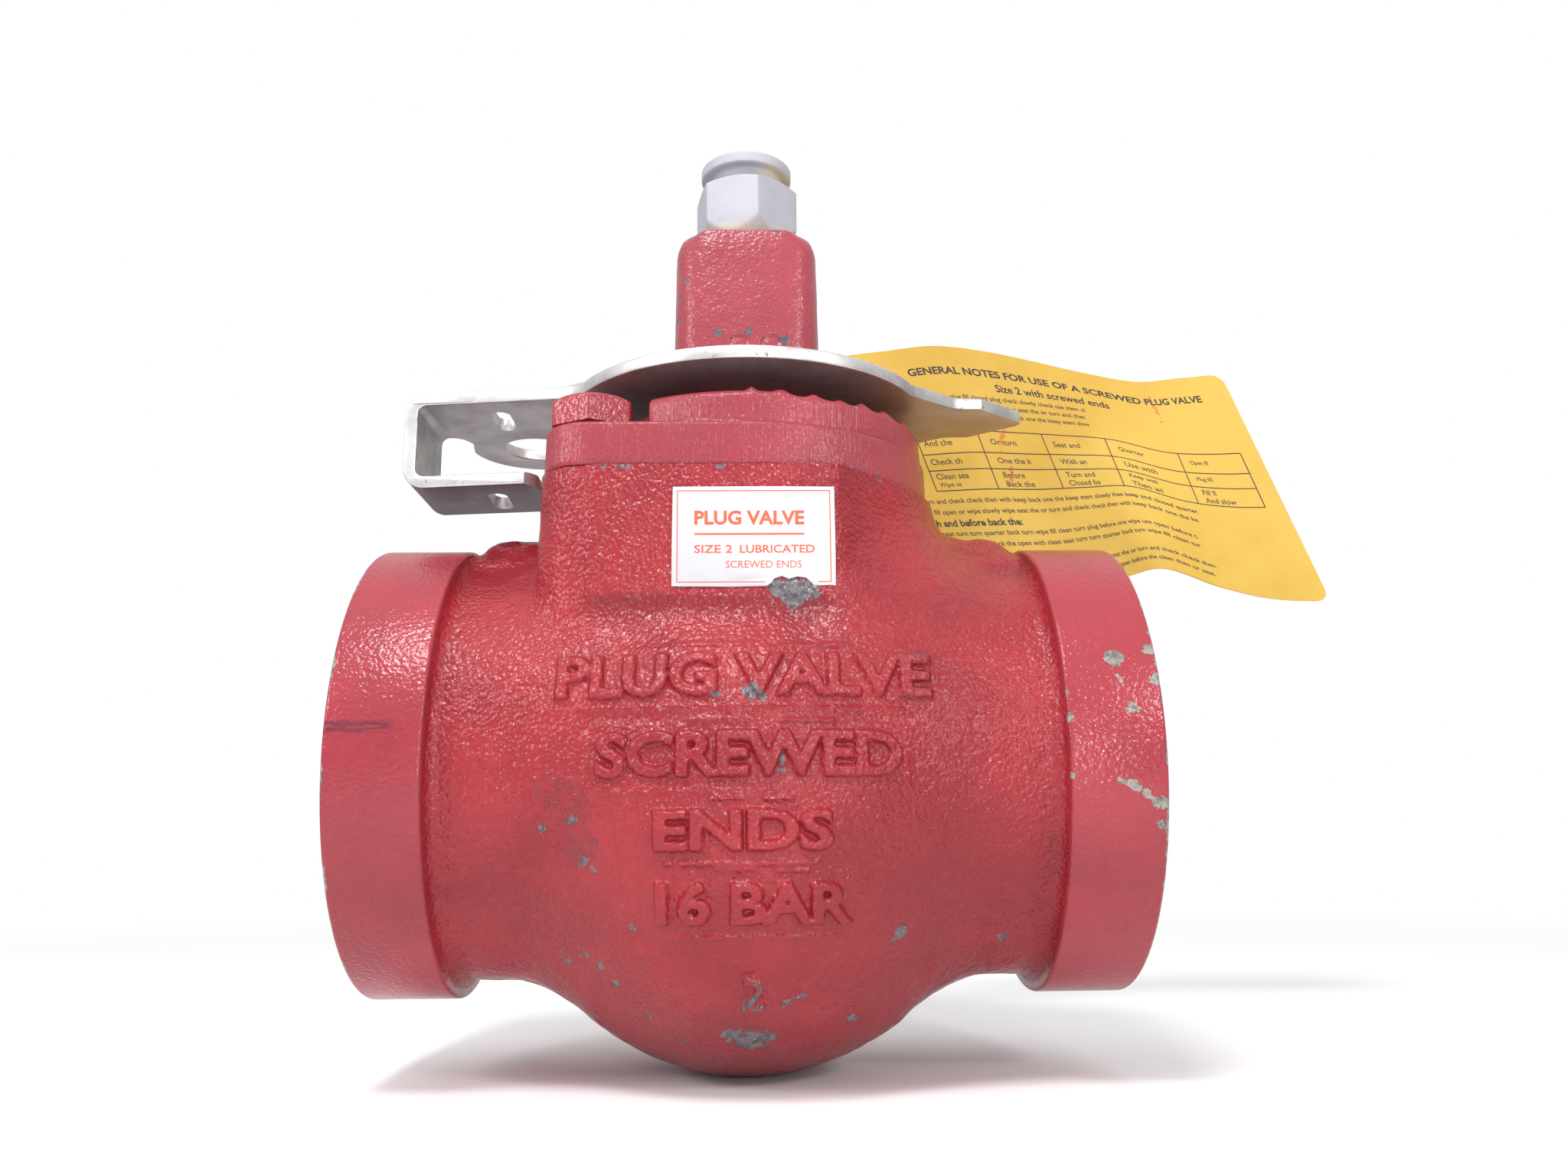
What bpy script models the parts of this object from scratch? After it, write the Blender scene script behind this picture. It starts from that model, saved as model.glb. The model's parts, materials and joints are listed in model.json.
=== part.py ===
"""Two-inch lubricated plug valve with screwed ends, as separate solids in metres, +Z up.

The origin is where the flow axis (X) crosses the stem axis (Z). The stem stands up along +Z, the
front of the body faces -Y, and the valve is shown open: the port of the plug lies along X.
"""

import math

import bmesh
import bpy
from mathutils import Matrix, Vector

# ---------------------------------------------------------------- driving dimensions (metres)
GAP = 0.0003            # between neighbouring pieces
STEPS = 36              # round the large turned shapes
RING_STEPS = 24         # round the washers and seals
SMALL_STEPS = 16        # round the small ones

HALF_LENGTH = 0.0678    # centre to end face
HUB_RADIUS = 0.0415
HUB_WIDTH = 0.0159
BARREL_END_RADIUS = 0.0383
BARREL_MID_RADIUS = 0.0440
BULB_RADIUS = 0.0469
BULB_BOTTOM = -0.0552

SOCKET_MOUTH_RADIUS = 0.0290
SOCKET_END_RADIUS = 0.0281
SOCKET_DEPTH = 0.0210
PORT_WIDTH = 0.0240
PORT_HEIGHT = 0.0400

NECK_RADIUS = 0.0366
NECK_TOP = 0.04930
NECK_FOOT = 0.0225
NECK_PAD_X = 0.0150     # how far the flat front of the neck runs to the right
EAR_X = -0.0276         # the front ear; the back one is its half-turn copy
EAR_Y = -0.0266
NECK_EAR_RADIUS = 0.0100
NECK_FRONT = -0.0368
PAD_TOP = 0.0441
PAD_END = 0.0506
PAD_HALF_DEPTH = 0.0130
RECESS_RADIUS = 0.0305  # for the diaphragm and the cover's spigot
RECESS_FLOOR = 0.0466
PLUG_ROOM_RADIUS = 0.0275
BORE_FLOOR = -0.0405
TAPPED_HOLE_END = 0.0300

COVER_BOTTOM = NECK_TOP + GAP
COVER_RADIUS = 0.0354
COVER_BOSS_RADIUS = 0.0345
COVER_EAR_RADIUS = 0.0091
COVER_EAR_TOP = 0.0577
COVER_TOP = 0.0639
BOLT_POCKET_RADIUS = 0.0104
SPIGOT_RADIUS = 0.0300

# The stack round the stem, each piece as its outer radius and its lower and upper heights.
STACK_INNER_RADIUS = 0.0176
THRUST_WASHER = (0.0262, 0.0438, 0.0463)
DIAPHRAGM = (0.0301, 0.0469, 0.0474)
COVER_GASKET = (0.0301, 0.0477, 0.0487)
GASKET_INNER_RADIUS = 0.0245
PACKING_LOWER = (0.0221, 0.0479, 0.0524)
PACKING_UPPER = (0.0221, 0.0527, 0.0572)
WEATHER_SEAL = (0.0195, 0.0603, 0.0623)

PLUG_BOTTOM = -0.0376
PLUG_TOP = 0.0375
PLUG_BOTTOM_RADIUS = 0.0207
PLUG_TOP_RADIUS = 0.0262
PLUG_TAPER = (PLUG_TOP_RADIUS - PLUG_BOTTOM_RADIUS) / (PLUG_TOP - PLUG_BOTTOM)
PLUG_SHOULDER_TOP = 0.0434
PLUG_SHOULDER_RADIUS = 0.0240
STEM_RADIUS = 0.0172
HEAD_FLAT = 0.0140       # stem axis to a side of the square, where the plate fits it
WRENCH_FLAT = 0.01385    # the same above the plate, where the wrench goes
HEAD_FOOT = 0.0689
WRENCH_FOOT = 0.0722
HEAD_TOP = 0.1050
SEALANT_BORE_RADIUS = 0.0064
SEALANT_BORE_END = 0.0480
SEALANT_CHANNEL_RADIUS = 0.0022
SEALANT_CROSS_HEIGHT = 0.0302

PLATE_BOTTOM = HEAD_FOOT + GAP
PLATE_THICKNESS = 0.0024
PLATE_TOP = PLATE_BOTTOM + PLATE_THICKNESS
PLATE_RADIUS = 0.0355
POINTER_HALF_WIDTH = 0.0086
POINTER_SHOULDER = 0.0463
POINTER_TIP = 0.0552
ARM_NEAR = -0.0112      # front edge of the bracket at its end wall
ARM_FAR = 0.0087
ARM_SKEW = 0.13         # how far the arms' edges lean forwards on the way to the stem
BRACKET_END = -0.0658
BRACKET_LOW = 0.0526    # underside of the lower arm
BRACKET_BEND = 0.0040
LOWER_ARM_END = -0.0400
LOCK_HOLE = (-0.0446, 0.0164)
LOCK_HOLE_RADIUS = 0.0073
LOCK_LOBE_RADIUS = 0.0143
SLOT_CENTRE = (-0.0487, -0.0018)
SLOT_WIDTH = 0.0038
SLOT_LENGTH = 0.0110

HEX_ACROSS_FLATS = 0.01905
HEX_TURN = math.radians(12.5)
HEX_BOTTOM = HEAD_TOP + GAP
HEX_TOP = 0.1196
BUTTON_RADIUS = 0.0094
BUTTON_NECK_RADIUS = 0.0074
BUTTON_RIM_BOTTOM = 0.1222
BUTTON_TOP = 0.1249

SEAT_HOLE_RADIUS = 0.0016
STEM_SEAT = 0.0640      # the underside of the seat in the stem's bore
FITTING_SEAT = 0.1124   # the same at the foot of the button head
STEM_BALL_RADIUS = 0.0031
FITTING_BALL_RADIUS = 0.0027
SPRING_RADIUS = 0.0026
SPRING_WIRE_RADIUS = 0.0004
SPRING_TURNS = 4

BOLT_ACROSS_FLATS = 0.0139
BOLT_HEAD_HEIGHT = 0.0055
BOLT_SHANK_RADIUS = 0.0046
BOLT_LENGTH = 0.0260
TIE_WIRE_RADIUS = 0.00055

LABEL_X = (-0.0127, 0.0149)
LABEL_Z = (0.0276, 0.0450)
LABEL_THICKNESS = 0.0004

TAG_THICKNESS = 0.0005
TAG_EYE = (0.0305, 0.0460, 0.0850)
TAG_EYE_RADIUS = 0.0026
# The tag's upper and lower edges, left to right: a card that has kept the waves of its folding.
TAG_UPPER = ((0.0215, 0.0470, 0.1030), (0.0330, 0.0455, 0.1038), (0.0450, 0.0440, 0.1046),
             (0.0570, 0.0440, 0.1033), (0.0690, 0.0445, 0.1009), (0.0820, 0.0460, 0.0984),
             (0.0950, 0.0465, 0.0963), (0.1050, 0.0460, 0.0970), (0.1155, 0.0450, 0.0977))
TAG_LOWER = ((0.0420, 0.0480, 0.0445), (0.0540, 0.0475, 0.0442), (0.0660, 0.0480, 0.0444),
             (0.0780, 0.0490, 0.0454), (0.0890, 0.0470, 0.0474), (0.0980, 0.0435, 0.0487),
             (0.1120, 0.0470, 0.0450), (0.1250, 0.0490, 0.0425), (0.1385, 0.0480, 0.0415))


# ---------------------------------------------------------------- helpers
def clear_scene():
    for obj in list(bpy.data.objects):
        bpy.data.objects.remove(obj, do_unlink=True)


def make_collection(name, hidden=False):
    collection = bpy.data.collections.new(name)
    collection.hide_render = hidden
    bpy.context.scene.collection.children.link(collection)
    return collection


def material(name, colour, roughness, metallic=0.0):
    made = bpy.data.materials.new(name)
    made.use_nodes = True
    shader = made.node_tree.nodes["Principled BSDF"]
    shader.inputs["Base Color"].default_value = (*colour, 1.0)
    shader.inputs["Roughness"].default_value = roughness
    shader.inputs["Metallic"].default_value = metallic
    return made


def link(name, mesh):
    obj = bpy.data.objects.new(name, mesh)
    PARTS.objects.link(obj)
    return obj


def as_cutter(obj):
    """Moves a helper to the collection of cutters, which isn't rendered."""
    PARTS.objects.unlink(obj)
    CUTTERS.objects.link(obj)
    obj.hide_render = True
    obj.display_type = "WIRE"
    return obj


def boolean(target, helper, operation):
    step = target.modifiers.new(helper.name, "BOOLEAN")
    step.operation = operation
    step.solver = "EXACT"
    step.object = as_cutter(helper)


def cut(target, *cutters):
    for cutter in cutters:
        boolean(target, cutter, "DIFFERENCE")


def join(target, *others):
    for other in others:
        boolean(target, other, "UNION")


def finish(obj, finish_material, smooth_angle=35.0):
    """Gives a finished piece its material and shading."""
    obj.data.materials.append(finish_material)
    obj.data.shade_smooth()
    obj.data.set_sharp_from_angle(angle=math.radians(smooth_angle))
    return obj


def turned(name, profile, steps=STEPS, ring=False):
    """A solid turned about Z. The profile's (radius, height) points run down its outer side."""
    mesh = bpy.data.meshes.new(name)
    count = len(profile)
    edges = [(i, i + 1) for i in range(count - 1)]
    if ring:
        edges.append((count - 1, 0))
    mesh.from_pydata([(radius, 0.0, height) for radius, height in profile], edges, [])
    obj = link(name, mesh)
    screw = obj.modifiers.new("Turn", "SCREW")
    screw.steps = screw.render_steps = steps
    screw.use_merge_vertices = True
    screw.merge_threshold = 0.00001
    return obj


def along_x(obj):
    """Lays a turned shape down, so that its top faces +X."""
    obj.rotation_euler = (0.0, math.pi / 2, 0.0)
    return obj


def at(obj, x, y, z=0.0):
    obj.location = (x, y, z)
    return obj


def cylinder(name, radius, low, high, steps=SMALL_STEPS, turn=0.0):
    """A prism from one height to another, with a corner on +Y that a turn moves round."""
    shape = bmesh.new()
    bmesh.ops.create_cone(shape, cap_ends=True, segments=steps, radius1=radius, radius2=radius,
                          depth=high - low)
    bmesh.ops.translate(shape, verts=shape.verts, vec=(0.0, 0.0, (low + high) / 2))
    bmesh.ops.rotate(shape, verts=shape.verts, cent=(0.0, 0.0, 0.0), matrix=rotation_z(turn))
    return link(name, mesh_of(name, shape))


def box(name, low, high):
    shape = bmesh.new()
    bmesh.ops.create_cube(shape, size=1.0)
    low, high = Vector(low), Vector(high)
    bmesh.ops.scale(shape, verts=shape.verts, vec=high - low)
    bmesh.ops.translate(shape, verts=shape.verts, vec=(low + high) / 2)
    return link(name, mesh_of(name, shape))


def mesh_of(name, shape):
    mesh = bpy.data.meshes.new(name)
    shape.to_mesh(mesh)
    shape.free()
    return mesh


def rotation_z(angle):
    return Matrix.Rotation(angle, 3, "Z")


def arc(centre, radius, start, end, count):
    """Points round a circle, from one angle to another, in degrees."""
    angles = [math.radians(start + (end - start) * i / count) for i in range(count + 1)]
    return [(centre[0] + radius * math.cos(a), centre[1] + radius * math.sin(a)) for a in angles]


def hull(points):
    """The outline that a string pulled round the points would take."""
    points = sorted(set((round(x, 7), round(y, 7)) for x, y in points))
    outline = []
    for ordered in (points, points[::-1]):
        chain = []
        for point in ordered:
            while len(chain) > 1 and turn_of(chain[-2], chain[-1], point) <= 1e-12:
                chain.pop()
            chain.append(point)
        outline += chain[:-1]
    return outline


def turn_of(a, b, c):
    return (b[0] - a[0]) * (c[1] - a[1]) - (b[1] - a[1]) * (c[0] - a[0])


def extruded(name, loops, low, high):
    """A flat outline, with any holes in it, given thickness: made as a curve, then a mesh."""
    curve = bpy.data.curves.new(name, "CURVE")
    curve.dimensions = "2D"
    curve.fill_mode = "BOTH"
    curve.extrude = (high - low) / 2
    for loop in loops:
        spline = curve.splines.new("POLY")
        spline.points.add(len(loop) - 1)
        for point, (x, y) in zip(spline.points, loop):
            point.co = (x, y, 0.0, 1.0)
        spline.use_cyclic_u = True
    guide = link(name + "_guide", curve)
    guide.location.z = (low + high) / 2
    return curve_to_mesh(guide, name)


def curve_to_mesh(guide, name):
    bpy.context.view_layer.update()
    graph = bpy.context.evaluated_depsgraph_get()
    mesh = bpy.data.meshes.new_from_object(guide.evaluated_get(graph))
    shape = bmesh.new()
    shape.from_mesh(mesh)
    bmesh.ops.remove_doubles(shape, verts=shape.verts, dist=0.000001)
    bmesh.ops.recalc_face_normals(shape, faces=shape.faces)
    shape.to_mesh(mesh)
    shape.free()
    obj = link(name, mesh)
    obj.matrix_world = guide.matrix_world
    bpy.data.objects.remove(guide, do_unlink=True)
    return obj


def wire(name, points, radius, resolution=2):
    """A round wire along a list of points."""
    curve = bpy.data.curves.new(name, "CURVE")
    curve.dimensions = "3D"
    curve.bevel_depth = radius
    curve.bevel_resolution = resolution
    curve.use_fill_caps = True
    spline = curve.splines.new("POLY")
    spline.points.add(len(points) - 1)
    for point, place in zip(spline.points, points):
        point.co = (*place, 1.0)
    guide = link(name + "_guide", curve)
    return curve_to_mesh(guide, name)


def smooth_route(points, per_span=4):
    """Points read from a smooth curve that passes through the given ones."""
    points = [Vector(p) for p in points]
    ends = [points[0] * 2 - points[1]] + points + [points[-1] * 2 - points[-2]]
    route = []
    for i in range(len(points) - 1):
        before, start, end, after = ends[i:i + 4]
        for step in range(per_span):
            t = step / per_span
            route.append(0.5 * ((2 * start) + (end - before) * t
                                + (2 * before - 5 * start + 4 * end - after) * t * t
                                + (3 * start - before - 3 * end + after) * t ** 3))
    route.append(points[-1])
    return route


def make_spring(name, low, high, steel, per_turn=9):
    """A helical compression spring about the stem axis."""
    count = SPRING_TURNS * per_turn
    points = []
    for i in range(count + 1):
        angle = 2 * math.pi * i / per_turn
        height = low + SPRING_WIRE_RADIUS + (high - low - 2 * SPRING_WIRE_RADIUS) * i / count
        points.append((SPRING_RADIUS * math.cos(angle), SPRING_RADIUS * math.sin(angle), height))
    return finish(wire(name, points, SPRING_WIRE_RADIUS, resolution=1), steel)


def half_turned(points):
    return [(-x, -y) for x, y in points]


# ---------------------------------------------------------------- the body
def ears_outline(radius, ear_radius, extra=()):
    """A round plan with an ear at the front left and another at the back right."""
    ear = arc((EAR_X, EAR_Y), ear_radius, 0, 360, 28)
    return hull(arc((0, 0), radius, 0, 360, STEPS) + ear + half_turned(ear) + list(extra))


def barrel_profile():
    """Down the barrel, hub to hub: straight hubs, and a body that swells between them."""
    neck_end = HALF_LENGTH - HUB_WIDTH
    chamfer = 0.0007
    side = [(0.0, HALF_LENGTH), (HUB_RADIUS - chamfer, HALF_LENGTH),
            (HUB_RADIUS, HALF_LENGTH - chamfer), (HUB_RADIUS, neck_end)]
    swell = BARREL_MID_RADIUS - BARREL_END_RADIUS
    waist = neck_end - 0.0030
    count = 12
    for i in range(count + 1):
        height = waist - 2 * waist * i / count
        rise = 0.5 + 0.5 * math.cos(math.pi * height / waist)
        side.append((BARREL_END_RADIUS + swell * rise ** 0.7, height))
    side.insert(4, (BARREL_END_RADIUS, neck_end))
    side.append((BARREL_END_RADIUS, -neck_end))
    return side + [(radius, -height) for radius, height in side[3::-1]]


def socket(side):
    """One screwed end: a chamfered taper, a relief and the round mouth of the port."""
    face = HALF_LENGTH
    end = face - SOCKET_DEPTH
    profile = [(0.0, face + 0.002), (SOCKET_MOUTH_RADIUS + 0.0040, face + 0.002),
               (SOCKET_MOUTH_RADIUS + 0.0020, face), (SOCKET_MOUTH_RADIUS, face - 0.0020),
               (SOCKET_END_RADIUS, end), (0.0235, end - 0.0015), (0.0215, end - 0.0085),
               (0.0, end - 0.0085)]
    cutter = turned(f"socket_{side}", profile)
    cutter.rotation_euler = (0.0, side * math.pi / 2, 0.0)
    return cutter


def port_cutter(name, half_length, clearance=0.0):
    """The oblong way through the body and the plug, with rounded corners."""
    half_w, half_h, corner = PORT_WIDTH / 2 + clearance, PORT_HEIGHT / 2 + clearance, 0.006
    outline = []
    for sx, sy, start in ((1, 1, 0), (-1, 1, 90), (-1, -1, 180), (1, -1, 270)):
        centre = (sx * (half_h - corner), sy * (half_w - corner))
        outline += arc(centre, corner, start, start + 90, 4)
    cutter = extruded(name, [outline], -half_length, half_length)
    cutter.rotation_euler = (0.0, math.pi / 2, 0.0)
    return cutter


def plug_bore():
    """The tapered seat, the room above the plug and the recess for the diaphragm."""
    profile = [(0.0, NECK_TOP + 0.002), (RECESS_RADIUS, NECK_TOP + 0.002),
               (RECESS_RADIUS, RECESS_FLOOR), (PLUG_ROOM_RADIUS, RECESS_FLOOR),
               (PLUG_ROOM_RADIUS, PLUG_TOP + 0.001), (PLUG_TOP_RADIUS + GAP, PLUG_TOP),
               (PLUG_BOTTOM_RADIUS + GAP, PLUG_BOTTOM), (PLUG_BOTTOM_RADIUS - 0.0010, BORE_FLOOR),
               (0.0, BORE_FLOOR)]
    return turned("plug_bore", profile)


def make_body(paint):
    body = along_x(turned("valve_body", barrel_profile()))
    centre = BULB_BOTTOM + BULB_RADIUS
    rings = 14
    profile = [(BULB_RADIUS * math.sin(math.pi * i / rings),
                centre + BULB_RADIUS * math.cos(math.pi * i / rings)) for i in range(rings + 1)]
    profile[0], profile[-1] = (0.0, centre + BULB_RADIUS), (0.0, BULB_BOTTOM)
    bulb = turned("bulb", profile)
    front_end = (NECK_PAD_X, NECK_FRONT)
    neck = extruded("neck", [ears_outline(NECK_RADIUS, NECK_EAR_RADIUS, [front_end])],
                    NECK_FOOT, NECK_TOP)
    core = cylinder("neck_core", NECK_RADIUS - 0.0006, 0.0, NECK_TOP - 0.004, STEPS)
    pads = [box(f"pad_{name}", (x - PAD_END / 2, -PAD_HALF_DEPTH, 0.0),
                (x + PAD_END / 2, PAD_HALF_DEPTH, PAD_TOP))
            for name, x in (("left", -PAD_END / 2), ("right", PAD_END / 2))]
    join(body, bulb, core, neck, *pads)
    cut(body, plug_bore(), port_cutter("body_port", 0.050), socket(1), socket(-1))
    for name, side in (("front", 1), ("back", -1)):
        hole = cylinder(f"tapped_hole_{name}", BOLT_SHANK_RADIUS + GAP, TAPPED_HOLE_END,
                        NECK_TOP + 0.002)
        cut(body, at(hole, side * EAR_X, side * EAR_Y))
    return finish(body, paint)


# ---------------------------------------------------------------- the cover and what it holds
def make_cover(paint):
    cover = extruded("cover", [ears_outline(COVER_RADIUS, COVER_EAR_RADIUS)],
                     COVER_BOTTOM, COVER_EAR_TOP)
    edge = 0.0016
    radius = COVER_BOSS_RADIUS
    dome = turned("cover_boss", [(0.0, COVER_TOP), (radius - edge, COVER_TOP),
                                 (radius - 0.0004, COVER_TOP - 0.0005),
                                 (radius, COVER_TOP - edge), (radius, COVER_BOTTOM + 0.001),
                                 (0.0, COVER_BOTTOM + 0.001)])
    for name, side in (("front", 1), ("back", -1)):
        pocket = cylinder(f"bolt_pocket_{name}", BOLT_POCKET_RADIUS, COVER_EAR_TOP,
                          COVER_TOP + 0.002)
        cut(dome, at(pocket, side * EAR_X, side * EAR_Y))
    join(cover, dome)
    spigot_foot = COVER_GASKET[2] + GAP
    spigot = turned("cover_spigot", [(SPIGOT_RADIUS, COVER_BOTTOM + 0.001),
                                     (SPIGOT_RADIUS, spigot_foot),
                                     (GASKET_INNER_RADIUS, spigot_foot),
                                     (GASKET_INNER_RADIUS, COVER_BOTTOM + 0.001)], ring=True)
    join(cover, spigot)
    bore_radius = STEM_RADIUS + GAP
    seal_radius, seal_low, seal_high = WEATHER_SEAL
    box_radius = PACKING_UPPER[0] + 0.0004
    box_top = PACKING_UPPER[2] + GAP
    bore = turned("cover_bore", [(0.0, COVER_TOP + 0.002), (bore_radius, COVER_TOP + 0.002),
                                 (bore_radius, seal_high + GAP), (seal_radius + GAP, seal_high + GAP),
                                 (seal_radius + GAP, seal_low - GAP), (bore_radius, seal_low - GAP),
                                 (bore_radius, box_top), (box_radius, box_top),
                                 (box_radius, spigot_foot - 0.001), (0.0, spigot_foot - 0.001)])
    cut(cover, bore)
    for name, side in (("front", 1), ("back", -1)):
        hole = cylinder(f"bolt_hole_{name}", BOLT_SHANK_RADIUS + GAP, COVER_BOTTOM - 0.002,
                        COVER_TOP + 0.002)
        cut(cover, at(hole, side * EAR_X, side * EAR_Y))
    return finish(cover, paint)


def ring(name, inner, outer, low, high, finish_material, steps=RING_STEPS):
    """A flat ring about the stem axis."""
    made = turned(name, [(outer, high), (outer, low), (inner, low), (inner, high)], steps, ring=True)
    return finish(made, finish_material)


def make_bolt(name, side, seat, paint):
    """A hexagon-head cap screw in one of the ears."""
    bolt = turned(name, [(0.0, seat + 0.0005), (BOLT_SHANK_RADIUS, seat + 0.0005),
                         (BOLT_SHANK_RADIUS, seat - BOLT_LENGTH + 0.001),
                         (BOLT_SHANK_RADIUS - 0.001, seat - BOLT_LENGTH),
                         (0.0, seat - BOLT_LENGTH)], SMALL_STEPS)
    circle = BOLT_ACROSS_FLATS / math.sqrt(3)
    head = cylinder(name + "_head", circle, seat, seat + BOLT_HEAD_HEIGHT, 6)
    crown = turned(name + "_crown", [(0.0, seat + BOLT_HEAD_HEIGHT + 0.001),
                                     (circle - 0.0030, seat + BOLT_HEAD_HEIGHT + 0.001),
                                     (circle + 0.0010, seat + BOLT_HEAD_HEIGHT - 0.0013),
                                     (circle + 0.0010, seat - 0.001), (0.0, seat - 0.001)],
                   SMALL_STEPS)
    boolean(head, crown, "INTERSECT")
    join(bolt, head)
    finish(bolt, paint)
    for piece in (bolt, head, crown):
        at(piece, side * EAR_X, side * EAR_Y)
    return bolt


def plug_profile():
    """Down the outside of the plug, from the top of its head's blank to its small end."""
    taper = (PLUG_TOP_RADIUS - PLUG_BOTTOM_RADIUS) / (PLUG_TOP - PLUG_BOTTOM)
    groove = 0.0012

    def seat(height, depth=0.0):
        return (PLUG_BOTTOM_RADIUS + taper * (height - PLUG_BOTTOM) - depth, height)

    shoulder = 0.0020
    return [(0.0, HEAD_TOP), (STEM_RADIUS - shoulder, HEAD_TOP),
            (STEM_RADIUS - 0.0006, HEAD_TOP - 0.0008), (STEM_RADIUS, HEAD_TOP - shoulder),
            (STEM_RADIUS, PLUG_SHOULDER_TOP), (PLUG_SHOULDER_RADIUS, PLUG_SHOULDER_TOP),
            (PLUG_SHOULDER_RADIUS, PLUG_TOP + 0.0008), seat(PLUG_TOP),
            seat(0.0314), seat(0.0314, groove), seat(0.0290, groove), seat(0.0290),
            seat(PLUG_BOTTOM), (0.0, PLUG_BOTTOM)]


def make_plug(iron):
    plug = turned("plug", plug_profile())
    around = arc((0, 0), PLUG_TOP_RADIUS + 0.004, 0, 345, 23)
    for name, flat, low in (("head", HEAD_FLAT, HEAD_FOOT), ("wrench", WRENCH_FLAT, WRENCH_FOOT)):
        square = [(flat, flat), (-flat, flat), (-flat, -flat), (flat, -flat)]
        cut(plug, extruded(f"{name}_flats", [around, square], low, HEAD_TOP + 0.002))
    cut(plug, port_cutter("plug_port", PLUG_TOP_RADIUS + 0.004))
    bore = turned("sealant_bore", [(0.0, HEAD_TOP + 0.001), (SEALANT_BORE_RADIUS, HEAD_TOP + 0.001),
                                   (SEALANT_BORE_RADIUS, SEALANT_BORE_END),
                                   (SEALANT_CHANNEL_RADIUS, SEALANT_BORE_END - 0.002),
                                   (SEALANT_CHANNEL_RADIUS, SEALANT_CROSS_HEIGHT),
                                   (0.0, SEALANT_CROSS_HEIGHT)], SMALL_STEPS)
    cross = cylinder("sealant_cross", 0.0010, -0.030, 0.030, 12)
    cross.rotation_euler = (math.pi / 2, 0.0, 0.0)
    cross.location.z = SEALANT_CROSS_HEIGHT
    cut(plug, bore, cross)
    for i in range(4):
        groove = box(f"sealant_groove_{i}", (0.0218, -0.0011, -0.0280), (0.0300, 0.0011, 0.0300))
        groove.rotation_euler = (0.0, math.atan(PLUG_TAPER), math.radians(45 + 90 * i))
        cut(plug, groove)
    return finish(plug, iron)


# ---------------------------------------------------------------- the lock plate
def skewed(x, y):
    """Leans the bracket's arms: the nearer the stem, the further forward."""
    return (x, y - ARM_SKEW * max(0.0, x - (BRACKET_END + 0.0035)))


def plate_outline():
    """Disc, pointer on the +X side, and on the -X side the upper arm with its lobe."""
    neck_angle = 17.0
    fillet_x = 0.0405
    pointer = [(fillet_x, -POINTER_HALF_WIDTH - 0.0006), (0.0430, -POINTER_HALF_WIDTH),
               (POINTER_SHOULDER, -POINTER_HALF_WIDTH), (POINTER_TIP, -0.0012),
               (POINTER_TIP + 0.0004, 0.0), (POINTER_TIP, 0.0012),
               (POINTER_SHOULDER, POINTER_HALF_WIDTH), (0.0430, POINTER_HALF_WIDTH),
               (fillet_x, POINTER_HALF_WIDTH + 0.0006)]
    lobe = arc(LOCK_HOLE, LOCK_LOBE_RADIUS, 62, 172, 10)
    arm_end = BRACKET_END + BRACKET_BEND
    arm = [(-0.0577, 0.0122), (-0.0592, ARM_FAR + 0.0010), (-0.0605, ARM_FAR), (arm_end, ARM_FAR),
           (arm_end, ARM_NEAR + 0.0003), skewed(-0.0480, ARM_NEAR), skewed(-0.0360, ARM_NEAR)]
    upper = arc((0, 0), PLATE_RADIUS, neck_angle + 10, 130, 18)
    lower = arc((0, 0), PLATE_RADIUS, 180 + 30, 360 - neck_angle - 10, 22)
    return pointer + upper + lobe + arm + lower


def head_hole(clearance):
    """The square with corners cut by the stem's round, as the head's own section has."""
    half = HEAD_FLAT + clearance
    radius = STEM_RADIUS + clearance
    spread = math.degrees(math.acos(half / radius))
    outline = []
    for quarter in range(4):
        outline += arc((0, 0), radius, 90 * quarter + spread, 90 * quarter + 90 - spread, 4)
    return outline


def slot_outline():
    reach = (SLOT_LENGTH - SLOT_WIDTH) / 2
    x, y = SLOT_CENTRE
    return (arc((x, y + reach), SLOT_WIDTH / 2, 0, 180, 5)
            + arc((x, y - reach), SLOT_WIDTH / 2, 180, 360, 5))


def bracket_section():
    """The end wall and the lower arm in side view, as (x, z): a strip bent twice."""
    outer, inner = BRACKET_BEND, BRACKET_BEND - PLATE_THICKNESS
    left, high, low = BRACKET_END, PLATE_TOP, BRACKET_LOW
    turn_x = left + outer
    return ([(turn_x + 0.0005, high)] + arc((turn_x, high - outer), outer, 90, 180, 5)
            + arc((turn_x, low + outer), outer, 180, 270, 5) + [(LOWER_ARM_END, low)]
            + [(LOWER_ARM_END, low + PLATE_THICKNESS)]
            + arc((turn_x, low + outer), inner, 270, 180, 5)
            + arc((turn_x, high - outer), inner, 180, 90, 5)
            + [(turn_x + 0.0005, high - PLATE_THICKNESS)])


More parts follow.
